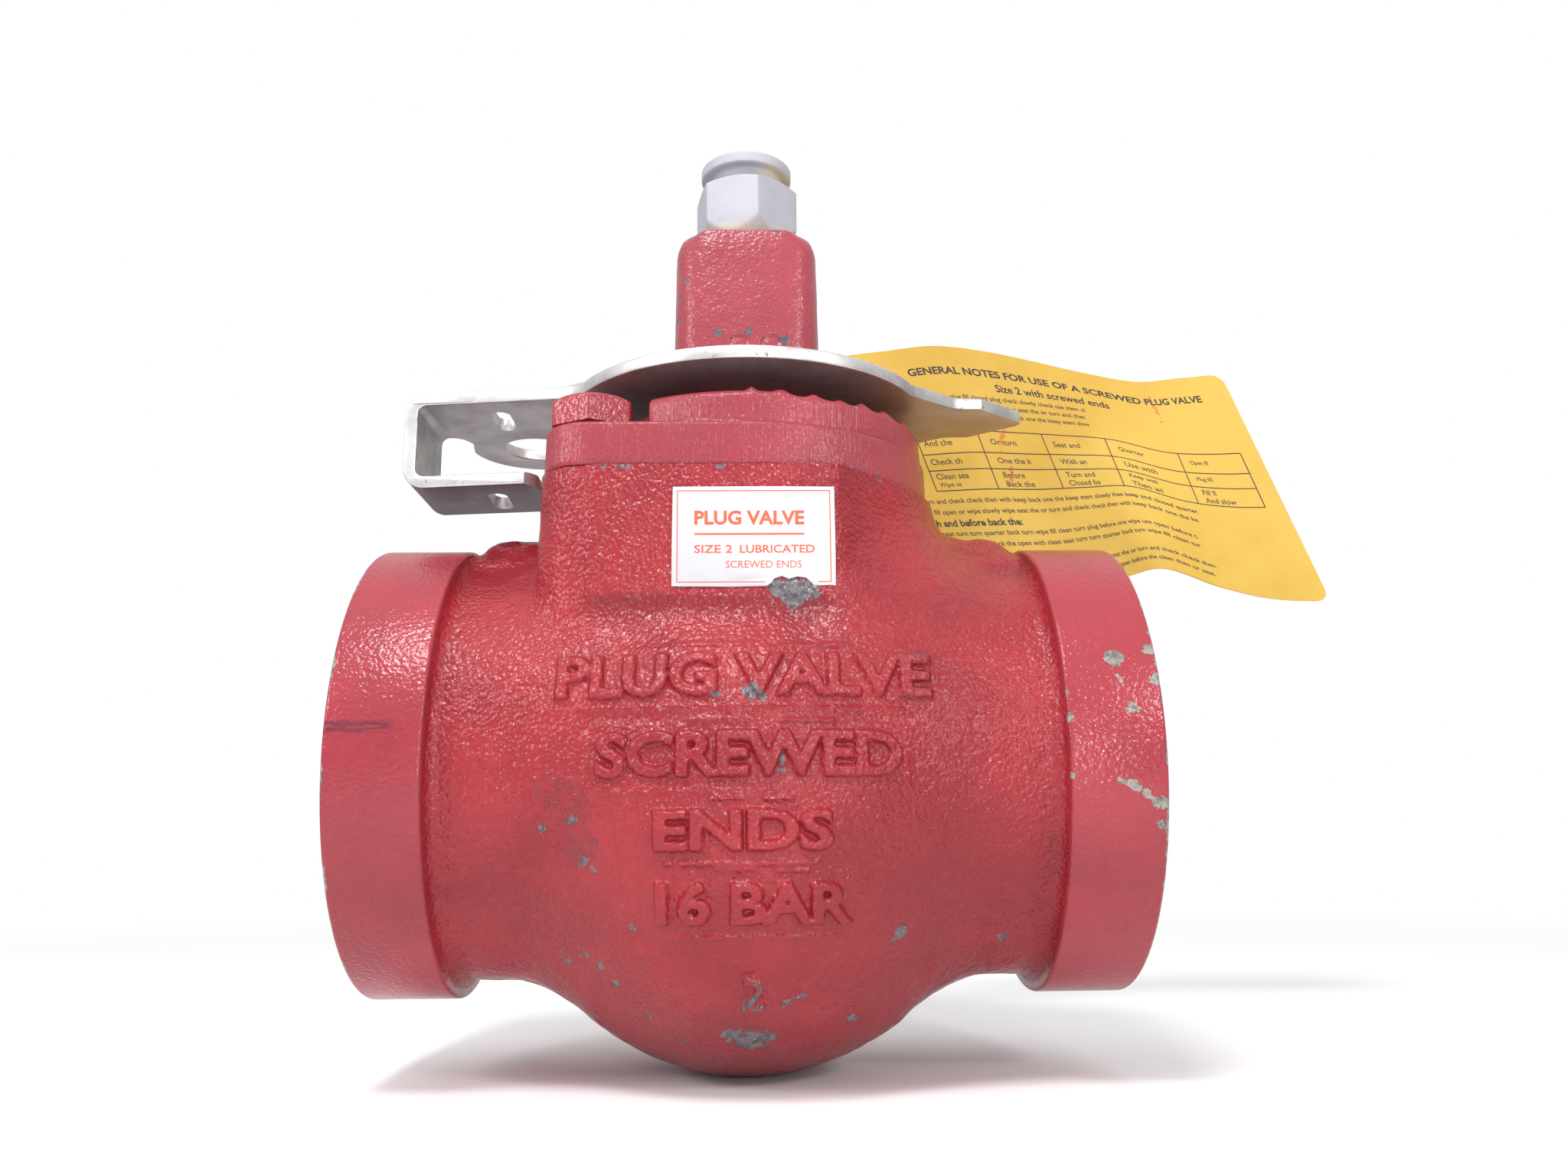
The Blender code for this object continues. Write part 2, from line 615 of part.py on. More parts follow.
def make_lock_plate(steel):
    holes = [head_hole(GAP), arc(LOCK_HOLE, LOCK_HOLE_RADIUS, 0, 345, 23)]
    plate = extruded("lock_plate", [plate_outline(), *holes], PLATE_BOTTOM, PLATE_TOP)
    strip = extruded("bracket", [bracket_section()], -ARM_FAR, -ARM_NEAR)
    strip.rotation_euler = (math.pi / 2, 0.0, 0.0)
    bpy.context.view_layer.update()
    strip.data.transform(strip.matrix_world)
    strip.rotation_euler = (0.0, 0.0, 0.0)
    strip.location = (0.0, 0.0, 0.0)
    for vertex in strip.data.vertices:
        vertex.co.x, vertex.co.y = skewed(vertex.co.x, vertex.co.y)
    join(plate, strip)
    slot = extruded("tie_slots", [slot_outline()], BRACKET_LOW - 0.002, PLATE_TOP + 0.002)
    corner = extruded("arm_corner", [hull([(LOWER_ARM_END - 0.0022, -0.020), (-0.030, -0.020),
                                           (-0.030, -0.0095), (LOWER_ARM_END + 0.0005, -0.0095),
                                           (LOWER_ARM_END - 0.0008, -0.0125)])],
                      BRACKET_LOW - 0.002, BRACKET_LOW + 0.006)
    cut(plate, slot, corner)
    return finish(plate, steel)


# ---------------------------------------------------------------- the sealant fitting and its checks
def make_sealant_fitting(steel):
    shank_low = 0.0880
    fitting = turned("sealant_fitting", [(0.0, HEX_BOTTOM + 0.001), (0.0061, HEX_BOTTOM + 0.001),
                                         (0.0061, shank_low + 0.001), (0.0051, shank_low),
                                         (0.0, shank_low)], SMALL_STEPS)
    circle = HEX_ACROSS_FLATS / math.sqrt(3)
    prism = cylinder("fitting_hex", circle, HEX_BOTTOM, HEX_TOP, 6, HEX_TURN)
    chamfer = turned("fitting_chamfer", [(0.0, HEX_TOP + 0.001), (0.0075, HEX_TOP + 0.001),
                                         (circle + 0.0010, HEX_TOP - 0.0014),
                                         (circle + 0.0010, HEX_BOTTOM + 0.0069),
                                         (0.0076, HEX_BOTTOM - 0.001), (0.0, HEX_BOTTOM - 0.001)],
                     RING_STEPS)
    boolean(prism, chamfer, "INTERSECT")
    join(fitting, prism)
    bore = turned("fitting_bore", [(0.0, HEX_TOP + 0.001), (0.0050, HEX_TOP + 0.001),
                                   (0.0050, 0.1110), (0.0036, 0.1110), (0.0036, 0.0930),
                                   (0.0015, 0.0920), (0.0015, shank_low - 0.001),
                                   (0.0, shank_low - 0.001)], SMALL_STEPS)
    cut(fitting, bore)
    return finish(fitting, steel)


def make_button_head(steel):
    """The button and its shank, whose lower end is the seat of the check ball."""
    top = BUTTON_TOP
    hole = SEAT_HOLE_RADIUS
    profile = [(hole, top), (BUTTON_RADIUS - 0.0009, top), (BUTTON_RADIUS, top - 0.0006),
               (BUTTON_RADIUS, BUTTON_RIM_BOTTOM), (BUTTON_NECK_RADIUS, BUTTON_RIM_BOTTOM),
               (BUTTON_NECK_RADIUS, HEX_TOP + GAP), (0.0047, HEX_TOP + GAP),
               (0.0047, FITTING_SEAT - 0.0012), (0.0032, FITTING_SEAT - 0.0012),
               (hole, FITTING_SEAT)]
    return finish(turned("button_head", profile, RING_STEPS, ring=True), steel)


def make_ball(name, radius, seat, steel):
    """A check ball under the edge of its seat's hole."""
    shape = bmesh.new()
    bmesh.ops.create_uvsphere(shape, u_segments=12, v_segments=8, radius=radius)
    height = seat - math.sqrt(radius ** 2 - SEAT_HOLE_RADIUS ** 2) - GAP
    ball = at(link(name, mesh_of(name, shape)), 0.0, 0.0, height)
    return finish(ball, steel)


# ---------------------------------------------------------------- label, tag and tie
def make_label(paper):
    front = NECK_FRONT - GAP
    return finish(box("label", (LABEL_X[0], front - LABEL_THICKNESS, LABEL_Z[0]),
                      (LABEL_X[1], front, LABEL_Z[1])), paper)


def along(route, fraction):
    """The point at a fraction of the way through a list of points."""
    place = fraction * (len(route) - 1)
    index = min(int(place), len(route) - 2)
    return route[index].lerp(route[index + 1], place - index)


def make_tag(card):
    shape = bmesh.new()
    columns, rows = 24, 4
    bmesh.ops.create_grid(shape, x_segments=columns, y_segments=rows, size=0.5)
    upper, lower = smooth_route(TAG_UPPER, 6), smooth_route(TAG_LOWER, 6)
    for vertex in shape.verts:
        across, down = vertex.co.x + 0.5, 0.5 - vertex.co.y
        high, low = along(upper, across), along(lower, across)
        vertex.co = high.lerp(low, down)
    tag = link("tag", mesh_of("tag", shape))
    thick = tag.modifiers.new("Thickness", "SOLIDIFY")
    thick.thickness = TAG_THICKNESS
    thick.offset = 0.0
    eye = cylinder("tag_eye", TAG_EYE_RADIUS, -0.010, 0.010, 16)
    eye.rotation_euler = (math.pi / 2, 0.0, 0.0)
    cut(tag, at(eye, *TAG_EYE))
    return finish(tag, card)


def make_tag_tie(steel):
    """A stiff wire: an eye held under the back bolt's head, and a hook through the tag."""
    x, y = -EAR_X, -EAR_Y
    level = COVER_EAR_TOP + GAP + TIE_WIRE_RADIUS
    eye_radius = BOLT_SHANK_RADIUS + GAP + TIE_WIRE_RADIUS + 0.0003
    eye = [(*point, level) for point in arc((x, y), eye_radius, 50, 330, 14)]
    run = smooth_route([(x + 0.0052, y - 0.0026, level), (x + 0.0085, y + 0.0010, level + 0.0005),
                        (0.0375, 0.0330, 0.0650), (0.0380, 0.0400, 0.0730),
                        (0.0345, 0.0435, 0.0800), (0.0310, 0.0440, 0.0840),
                        (0.0303, 0.0470, 0.0853), (0.0303, 0.0500, 0.0870),
                        (0.0303, 0.0508, 0.0900), (0.0303, 0.0500, 0.0925)], 3)
    return finish(wire("tag_tie", eye + run, TIE_WIRE_RADIUS, 1), steel)


# ---------------------------------------------------------------- assembly
clear_scene()
PARTS = make_collection("plug_valve")
CUTTERS = make_collection("cutters", hidden=True)

RED_PAINT = material("red paint", (0.50, 0.035, 0.045), 0.42)
IRON = material("machined iron", (0.30, 0.29, 0.28), 0.45, 0.9)
ZINC = material("zinc plate", (0.72, 0.71, 0.70), 0.38, 0.9)
STEEL = material("bright steel", (0.60, 0.60, 0.60), 0.25, 1.0)
SPRING = material("spring steel", (0.35, 0.34, 0.33), 0.35, 1.0)
FIBRE = material("gasket fibre", (0.20, 0.19, 0.17), 0.80)
PACKING = material("graphite packing", (0.05, 0.05, 0.05), 0.70)
RUBBER = material("black rubber", (0.02, 0.02, 0.02), 0.60)
PAPER = material("label film", (0.85, 0.86, 0.88), 0.35)
CARD = material("yellow tag card", (0.88, 0.55, 0.06), 0.50)

make_body(RED_PAINT)
make_cover(RED_PAINT)
tie_room = 2 * (TIE_WIRE_RADIUS + GAP)
make_bolt("cover_bolt_front", 1, COVER_EAR_TOP + GAP, RED_PAINT)
make_bolt("cover_bolt_back", -1, COVER_EAR_TOP + tie_room, RED_PAINT)
ring("thrust_washer", STACK_INNER_RADIUS, *THRUST_WASHER, STEEL)
ring("diaphragm", STACK_INNER_RADIUS, *DIAPHRAGM, STEEL)
ring("cover_gasket", GASKET_INNER_RADIUS, *COVER_GASKET, FIBRE)
ring("packing_ring_lower", STACK_INNER_RADIUS, *PACKING_LOWER, PACKING)
ring("packing_ring_upper", STACK_INNER_RADIUS, *PACKING_UPPER, PACKING)
ring("stem_weather_seal", STACK_INNER_RADIUS, *WEATHER_SEAL, RUBBER)

make_plug(RED_PAINT)
make_lock_plate(ZINC)
ring("stem_check_seat", SEAT_HOLE_RADIUS, 0.0060, STEM_SEAT, STEM_SEAT + 0.0060, STEEL,
     SMALL_STEPS)
make_ball("stem_check_ball", STEM_BALL_RADIUS, STEM_SEAT, STEEL)
make_spring("stem_check_spring", SEALANT_BORE_END + 0.0002, 0.0590, SPRING)
make_sealant_fitting(ZINC)
make_button_head(ZINC)
make_ball("fitting_check_ball", FITTING_BALL_RADIUS, FITTING_SEAT, STEEL)
make_spring("fitting_check_spring", 0.0934, 0.1072, SPRING)

make_label(PAPER)
make_tag(CARD)
make_tag_tie(STEEL)
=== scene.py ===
import json
import math

import bmesh
import bpy
import numpy as np
from mathutils import Matrix, Vector, geometry


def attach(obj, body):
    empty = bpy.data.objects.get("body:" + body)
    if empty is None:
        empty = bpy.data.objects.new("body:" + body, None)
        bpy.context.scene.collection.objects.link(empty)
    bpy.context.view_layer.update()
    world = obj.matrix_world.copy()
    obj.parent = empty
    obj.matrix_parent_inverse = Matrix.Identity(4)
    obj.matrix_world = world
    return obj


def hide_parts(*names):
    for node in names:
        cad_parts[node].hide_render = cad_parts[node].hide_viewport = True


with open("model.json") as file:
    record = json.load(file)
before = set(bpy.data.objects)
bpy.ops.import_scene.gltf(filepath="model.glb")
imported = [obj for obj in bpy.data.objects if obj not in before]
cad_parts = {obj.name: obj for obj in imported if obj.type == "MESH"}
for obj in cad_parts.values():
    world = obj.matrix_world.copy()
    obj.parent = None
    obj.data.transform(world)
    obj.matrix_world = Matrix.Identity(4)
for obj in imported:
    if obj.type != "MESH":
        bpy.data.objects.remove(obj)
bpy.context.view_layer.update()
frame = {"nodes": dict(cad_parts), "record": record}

MM = 0.001
CENTRE = 0.01  # the smallest radius of a turned piece's ends, so that no two points meet on the axis

# ------------------------------------------------------------------ dimensions shared with the solids
GAP = 0.3
HALF_LENGTH = 67.8
HUB_RADIUS = 41.5
HUB_INNER = 51.9
BARREL_END, BARREL_MID, WAIST = 38.3, 44.0, 48.9
BULB_RADIUS, BULB_HEIGHT = 46.9, -8.3
NECK_RADIUS, NECK_TOP = 36.6, 49.3
EAR, NECK_EAR = (-27.6, -26.6), 8.9
PAD_TOP, PAD_END, PAD_DEPTH = 44.1, 50.6, 13.0
COVER_LOW, COVER_RADIUS, BOSS_RADIUS = 49.6, 35.4, 34.5
COVER_EAR, COVER_EAR_TOP, COVER_TOP, POCKET = 8.5, 57.7, 63.9, 10.4
STEM_RADIUS, HEAD_FLAT, HEAD_FOOT, HEAD_TOP = 17.2, 14.0, 68.9, 105.0
PLATE_LOW, PLATE_TOP, PLATE_RADIUS = 69.2, 71.6, 35.5


# ------------------------------------------------------------------ meshes
def mesh_object(name, points, faces):
    """An object from points in millimetres."""
    mesh = bpy.data.meshes.new(name)
    mesh.from_pydata(np.asarray(points, float) * MM, [], faces)
    mesh.validate()
    obj = bpy.data.objects.new(name, mesh)
    bpy.context.scene.collection.objects.link(obj)
    return obj


def loft(name, rings):
    """A closed skin over rings of points, lowest ring first, with a point in the middle of each end."""
    rings = np.asarray(rings, float)
    count, steps = rings.shape[:2]
    points = np.concatenate([rings.reshape(-1, 3), rings[0].mean(0)[None], rings[-1].mean(0)[None]])
    here = np.arange(count * steps).reshape(count, steps)
    beside = np.roll(here, -1, axis=1)
    quads = np.stack([here[:-1], beside[:-1], beside[1:], here[1:]], -1).reshape(-1, 4).tolist()
    low = np.stack([np.full(steps, count * steps), beside[0], here[0]], -1).tolist()
    high = np.stack([np.full(steps, count * steps + 1), here[-1], beside[-1]], -1).tolist()
    return mesh_object(name, points, quads + low + high)


def angles(steps):
    return np.arange(steps) * (2 * math.pi / steps)


def around(radius, height, steps):
    """One ring about Z. The radius and height may be numbers or one for each step."""
    turn = angles(steps)
    return np.stack([radius * np.cos(turn), radius * np.sin(turn), height + 0 * turn], -1)


def turned(name, profile, steps=128):
    """A solid turned about Z from (radius, height) points, lowest first."""
    return loft(name, [around(radius, height, steps) for radius, height in profile])


def rod(name, radius, low, high, steps):
    return turned(name, [(CENTRE, low), (radius, low), (radius, high), (CENTRE, high)], steps)


def pipe(name, profile, steps=96):
    """A tube about Z: its (radius, height) points run round a closed section, outer side upwards."""
    rings = np.asarray([around(radius, height, steps) for radius, height in profile])
    count = len(rings)
    here = np.arange(count * steps).reshape(count, steps)
    beside, above = np.roll(here, -1, axis=1), np.roll(here, -1, axis=0)
    both = np.roll(beside, -1, axis=0)
    return mesh_object(name, rings.reshape(-1, 3),
                       np.stack([here, beside, both, above], -1).reshape(-1, 4).tolist())


def facing_x(obj, side=1):
    """Lays a shape built about Z along X."""
    obj.data.transform(Matrix.Rotation(side * math.pi / 2, 4, "Y"))
    return obj


def rounded(corners, radius, count=4):
    """A profile's corners, each replaced by a few points of a curve of about that radius."""
    corners = [np.array(c, float) for c in corners]
    made = [corners[0]]
    for before, here, after in zip(corners, corners[1:], corners[2:]):
        lengths = [np.linalg.norm(other - here) for other in (before, after)]
        start, end = (here + (other - here) / length * min(radius, length * 0.45)
                      for other, length in zip((before, after), lengths))
        for step in range(count + 1):
            t = step / count
            made.append(start * (1 - t) ** 2 + here * 2 * t * (1 - t) + end * t * t)
    return made + [corners[-1]]


def evaluated_mesh(obj):
    bpy.context.view_layer.update()
    graph = bpy.context.evaluated_depsgraph_get()
    return bpy.data.meshes.new_from_object(obj.evaluated_get(graph))


def combine(obj, operation, *others):
    """Joins, or cuts away, other solids."""
    for other in others:
        step = obj.modifiers.new("step", "BOOLEAN")
        step.operation = operation
        step.solver = "MANIFOLD"
        step.object = other
    made = evaluated_mesh(obj)
    obj.modifiers.clear()
    obj.data = made
    for other in others:
        bpy.data.objects.remove(other, do_unlink=True)
    return obj


def arc(centre, radius, start, end, count):
    turn = np.radians(np.linspace(start, end, count + 1))
    return [(centre[0] + radius * math.cos(a), centre[1] + radius * math.sin(a)) for a in turn]


def unit(rows):
    return rows / np.linalg.norm(rows, axis=1)[:, None]


def inset(loop, amount):
    """A closed outline moved inwards, if it runs anticlockwise."""
    loop = np.asarray(loop, float)
    ahead = unit(np.roll(loop, -1, 0) - loop)
    normal = np.stack([-ahead[:, 1], ahead[:, 0]], -1)
    both = normal + np.roll(normal, 1, 0)
    both /= np.maximum((both * both).sum(1), 0.4)[:, None] / 2
    return loop + both * amount


def slab(name, loops, low, high, edge=0.25, rows=3):
    """A flat piece with rounded edges. The outer loop runs anticlockwise and any hole clockwise."""
    sections = [(edge * (1 - math.cos(a)), low + edge * (1 - math.sin(a)))
                for a in np.linspace(math.pi / 2, 0, rows + 1)]
    sections += [(d, high + low - h) for d, h in sections[::-1]]
    points, faces, start = [], [], 0
    tops, bottoms = [], []
    for loop in loops:
        n = len(loop)
        for depth, height in sections:
            ring = inset(loop, depth)
            points.append(np.column_stack([ring, np.full(n, height)]))
        here = start + np.arange(len(sections) * n).reshape(-1, n)
        beside = np.roll(here, -1, 1)
        faces += np.stack([here[:-1], beside[:-1], beside[1:], here[1:]], -1).reshape(-1, 4).tolist()
        bottoms.append(here[0])
        tops.append(here[-1])
        start += len(sections) * n
    points = np.concatenate(points)
    for level, upwards in ((bottoms, False), (tops, True)):
        order = np.concatenate(level)
        flat = [[Vector((*points[i][:2], 0)) for i in ring] for ring in level]
        for face in geometry.tessellate_polygon(flat):
            a, b, c = (points[order[i]][:2] for i in face)
            left = (b[0] - a[0]) * (c[1] - a[1]) > (b[1] - a[1]) * (c[0] - a[0])
            ids = [int(order[i]) for i in face]
            faces.append(ids if left == upwards else ids[::-1])
    return mesh_object(name, points, faces)


def smooth(obj, angle=38.0):
    obj.data.shade_smooth()
    obj.data.set_sharp_from_angle(angle=math.radians(angle))
    return obj


def dress(obj, material, body, slot, *replaced, angle=38.0):
    """Gives a finished piece its material and shading, its body and the solids it stands for."""
    obj.data.materials.clear()
    for each in material if isinstance(material, (list, tuple)) else [material]:
        obj.data.materials.append(each)
    smooth(obj, angle)
    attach(obj, body)
    if replaced:
        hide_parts(*replaced)
    return obj


# ------------------------------------------------------------------ distance fields
def lattice(points, cell, seed):
    """Smooth noise, about -1 to 1, whose lumps are a cell across."""
    place = points / cell + seed * 17.31
    base = np.floor(place).astype(np.int64)
    part = place - base
    part = part * part * (3 - 2 * part)
    total = np.zeros(len(points))
    for corner in range(8):
        offset = np.array([corner & 1, corner >> 1 & 1, corner >> 2 & 1])
        x, y, z = ((base + offset) * np.array([73856093, 19349663, 83492791])).T
        mixed = (x ^ y ^ z ^ (seed * 2654435)) & 0xFFFFFF
        mixed = (mixed * 1103515 + 12345) & 0xFFFFFF
        mixed = (mixed ^ (mixed >> 9)) * 69621 & 0xFFFFFF
        weight = np.prod(np.where(offset, part, 1 - part), axis=1)
        total += weight * (mixed / 0x7FFFFF - 1.0)
    return total


def round_union(a, b, radius):
    """The nearer of two surfaces, with a fillet of that radius where they meet."""
    near = np.hypot(np.maximum(radius - a, 0), np.maximum(radius - b, 0))
    return np.maximum(radius, np.minimum(a, b)) - near


def ease(value, start, end):
    t = np.clip((value - start) / (end - start), 0, 1)
    return t * t * (3 - 2 * t)


def egg(x, y, big, end, small):
    """Distance from the outline round two circles: one at the origin, one at end."""
    length = math.hypot(*end)
    ux, uy = end[0] / length, end[1] / length
    along, across = x * ux + y * uy, np.abs(x * uy - y * ux)
    b = (big - small) / length
    a = math.sqrt(1 - b * b)
    k = along * a - across * b
    side = across * a + along * b - big
    return np.where(k < 0, np.hypot(along, across) - big,
                    np.where(k > a * length, np.hypot(along - length, across) - small, side))


def convex(x, y, corners):
    """Distance from a convex outline, corners anticlockwise, exact outside near its sides."""
    corners = np.asarray(corners, float)
    best = np.full(x.shape, 1e9)
    outside = np.full(x.shape, -1e9)
    for (ax, ay), (bx, by) in zip(corners, np.roll(corners, -1, 0)):
        ex, ey = bx - ax, by - ay
        px, py = x - ax, y - ay
        t = np.clip((px * ex + py * ey) / (ex * ex + ey * ey), 0, 1)
        best = np.minimum(best, np.hypot(px - t * ex, py - t * ey))
        outside = np.maximum(outside, (px * ey - py * ex) / math.hypot(ex, ey))
    return np.where(outside > 0, best, -best)


def ear_outline(x, y, radius, ear_radius):
    one = egg(x, y, radius, EAR, ear_radius)
    return np.minimum(one, egg(-x, -y, radius, EAR, ear_radius))


def body_field(points):
    """The casting's outside, hub to hub, as a distance: barrel, bulb, neck and ears, pads."""
    x, y, z = points.T
    reach = np.clip(np.abs(x) / WAIST, 0, 1)
    wave = np.maximum(0.5 + 0.5 * np.cos(math.pi * reach), 1e-6)
    swell = (BARREL_MID - BARREL_END) * (1 - 0.8 * ease(-z, 5.0, 40.0))
    radius = BARREL_END + swell * wave ** 0.7
    steep = 0.7 * wave ** -0.3 * 0.5 * np.sin(math.pi * reach) * math.pi / WAIST
    steep *= BARREL_MID - BARREL_END
    barrel = (np.hypot(y, z) - radius) / np.sqrt(1 + steep ** 2)
    bulb = np.sqrt(1.03 * x * x + y * y + (z - BULB_HEIGHT) ** 2) - BULB_RADIUS
    made = round_union(barrel, bulb, 5.5)
    front = convex(x, y, [(0, 0), (-25.1, -20), (-25.1, -32.1), (13.6, -32.3), (22.6, -22.6)]) - 4.5
    neck = np.minimum(ear_outline(x, y, NECK_RADIUS, NECK_EAR), front)
    draft = 0.02 * (z - NECK_TOP)
    neck = np.maximum(np.maximum(neck + draft, z - NECK_TOP - 2.5), -z)
    made = round_union(made, neck, 2.6 + 8.0 * ease(x, 2.0, 34.0) * ease(-y, -60.0, 10.0))
    pad = np.stack([np.abs(x) - PAD_END + 2 + np.maximum(z - 40, 0) * 0.25,
                    np.abs(y) - PAD_DEPTH + 2 + np.maximum(z - 37.5, 0) * 1.3, z - PAD_TOP + 2], -1)
    pads = np.linalg.norm(np.maximum(pad, 0), axis=1) + np.minimum(pad.max(1), 0) - 2
    pads = np.maximum(pads, -z)
    made = round_union(made, pads, 3.5)
    hub = np.maximum(np.hypot(y, z) - HUB_RADIUS + 0.3, HUB_INNER + 0.1 - np.abs(x))
    made = round_union(made, hub, 2.2)
    return np.maximum(made, np.abs(x) - HUB_INNER - 2.5)


def slope(field, points, step=0.06):
    return np.stack([(field(points + axis) - field(points - axis)) / (2 * step)
                     for axis in np.eye(3) * step], -1)


def onto(field, points, rounds=2):
    """Moves points onto a field's surface."""
    for _ in range(rounds):
        away = slope(field, points)
        size = np.maximum((away * away).sum(1), 0.25)
        points = points - away * (field(points) / size)[:, None]
    return points


def skin(field, low, high, cell, rounds=4):
    """Points and quads over the surface where a field of distances changes sign."""
    axes = [np.arange(a, b + cell, cell) for a, b in zip(low, high)]
    grid = np.stack(np.meshgrid(*axes, indexing="ij"), -1)
    inside = (field(grid.reshape(-1, 3)) < 0).reshape(grid.shape[:3])
    count = np.zeros(np.array(inside.shape) - 1, int)
    for corner in range(8):
        i, j, k = corner & 1, corner >> 1 & 1, corner >> 2 & 1
        nx, ny, nz = count.shape
        count += inside[i:i + nx, j:j + ny, k:k + nz]
    active = (count > 0) & (count < 8)
    index = np.full(active.shape, -1)
    index[active] = np.arange(active.sum())
    points = grid[:-1, :-1, :-1][active] + cell / 2
    faces = []
    for a in range(3):
        b, c = (a + 1) % 3, (a + 2) % 3
        size = inside.shape[a]
        here = np.argwhere(inside.take(range(size - 1), a) != inside.take(range(1, size), a))
        quad = []
        for db, dc in ((-1, -1), (0, -1), (0, 0), (-1, 0)):
            place = here.copy()
            place[:, b] += db
            place[:, c] += dc
            quad.append(index[tuple(place.T)])
        quad = np.stack(quad, -1)
        backwards = ~inside[tuple(here.T)]
        quad[backwards] = quad[backwards][:, ::-1]
        faces.append(quad)
    faces = np.concatenate(faces)
    ends = np.concatenate([faces[:, [i, (i + 1) % 4]] for i in range(4)])
    degree = np.bincount(ends[:, 0], minlength=len(points))
    points = onto(field, points)
    for _ in range(rounds):
        mean = np.stack([np.bincount(ends[:, 0], points[ends[:, 1], k], len(points))
                         for k in range(3)], -1) / degree[:, None]
        points = onto(field, 0.4 * points + 0.6 * mean, 1)
    return onto(field, points), faces


# ------------------------------------------------------------------ lettering
def text_triangles(words, width, height, left, bottom, bold=0.0):
    """Flat triangles of a line of capitals, fitted to a width and a height."""
    curve = bpy.data.curves.new("words", "FONT")
    curve.body = words
    curve.offset = bold
    curve.resolution_u = 3
    holder = bpy.data.objects.new("words", curve)
    bpy.context.scene.collection.objects.link(holder)
    mesh = evaluated_mesh(holder)
    bpy.data.objects.remove(holder, do_unlink=True)
    bpy.data.curves.remove(curve)
    mesh.calc_loop_triangles()
    flat = np.array([v.co[:2] for v in mesh.vertices], float)
    faces = np.array([t.vertices for t in mesh.loop_triangles], int)
    bpy.data.meshes.remove(mesh)
    size = flat.max(0) - flat.min(0)
    scale_y = height / size[1]
    scale_x = scale_y if width is None else width / size[0]
    flat = (flat - flat.min(0)) * (scale_x, scale_y) + (left, bottom)
    return flat, faces


def stamp(canvas, origin, pitch, triangles):
    """Fills triangles, each three corners in millimetres, on a canvas of heights."""
    for corners in triangles:
        spots = (corners - origin) / pitch
        low = np.maximum(np.floor(spots.min(0)).astype(int), 0)
        high = np.minimum(np.ceil(spots.max(0)).astype(int) + 1, canvas.shape)
        if (high <= low).any():
            continue
        i, j = np.meshgrid(*(np.arange(a, b) for a, b in zip(low, high)), indexing="ij")
        sides = []
        for (ax, ay), (bx, by) in zip(spots, np.roll(spots, -1, 0)):
            sides.append((bx - ax) * (j - ay) - (by - ay) * (i - ax))
        sides = np.array(sides)
        hit = (sides >= -1e-6).all(0) | (sides <= 1e-6).all(0)
        canvas[low[0]:high[0], low[1]:high[1]][hit] = 1.0


def blurred(canvas, pitch, spread):
    fx = np.fft.fftfreq(canvas.shape[0], pitch)[:, None]
    fz = np.fft.rfftfreq(canvas.shape[1], pitch)[None]
    soften = np.exp(-2 * (math.pi * spread) ** 2 * (fx ** 2 + fz ** 2))
    return np.fft.irfft2(np.fft.rfft2(canvas) * soften, canvas.shape)


def sampled(canvas, origin, pitch, x, z):
    """The canvas's value between its points."""
    spots = np.stack([x - origin[0], z - origin[1]], -1) / pitch
    spots = np.clip(spots, 0, np.array(canvas.shape) - 1.001)
    base = spots.astype(int)
    u, v = (spots - base).T
    i, j = base.T
    return ((canvas[i, j] * (1 - u) + canvas[i + 1, j] * u) * (1 - v)
            + (canvas[i, j + 1] * (1 - u) + canvas[i + 1, j + 1] * u) * v)


# Each row of raised lettering: words, left and right ends, foot and top.
ROWS = (("PLUG VALVE", -31.0, 30.0, 8.0, 15.4), ("SCREWED", -24.0, 24.5, -4.7, 2.6),
        ("ENDS", -14.6, 13.3, -15.9, -9.5), ("16 BAR", -14.3, 16.3, -27.0, -20.3))
RELIEF_ORIGIN, RELIEF_PITCH = np.array([-37.0, -50.0]), 0.1


def relief():
    """Heights over the front of the casting: raised words on faint insert plates."""
    letters, plates, ridges = np.zeros((3, 740, 720))
    for words, left, right, foot, top in ROWS:
        flat, faces = text_triangles(words, right - left, top - foot, left, foot, bold=0.046)
        stamp(letters, RELIEF_ORIGIN, RELIEF_PITCH, flat[faces])
        low = ((np.array([left - 1.6, foot - 1.9]) - RELIEF_ORIGIN) / RELIEF_PITCH).astype(int)
        high = ((np.array([right + 1.6, top + 1.7]) - RELIEF_ORIGIN) / RELIEF_PITCH).astype(int)
        plates[low[0]:high[0], low[1]:high[1]] = 1.0
        reach = right - left
        for start, end, height in ((0.06, 0.93, foot - 1.9), (0.30, 0.52, top + 1.8),
                                   (0.60, 0.78, top + 1.6)):
            a, b = ((np.array([left + reach * start, left + reach * end]) - RELIEF_ORIGIN[0])
                    / RELIEF_PITCH).astype(int)
            c = int((height - RELIEF_ORIGIN[1]) / RELIEF_PITCH)
            ridges[a:b, c - 3:c + 3] = 1.0
    flat, faces = text_triangles("2", 3.6, 5.2, -1.1, -40.4, bold=0.03)
    stamp(letters, RELIEF_ORIGIN, RELIEF_PITCH, flat[faces])
    return (1.05 * blurred(letters, RELIEF_PITCH, 0.17) + 0.14 * blurred(plates, RELIEF_PITCH, 0.2)
            + 0.55 * blurred(ridges, RELIEF_PITCH, 0.22))


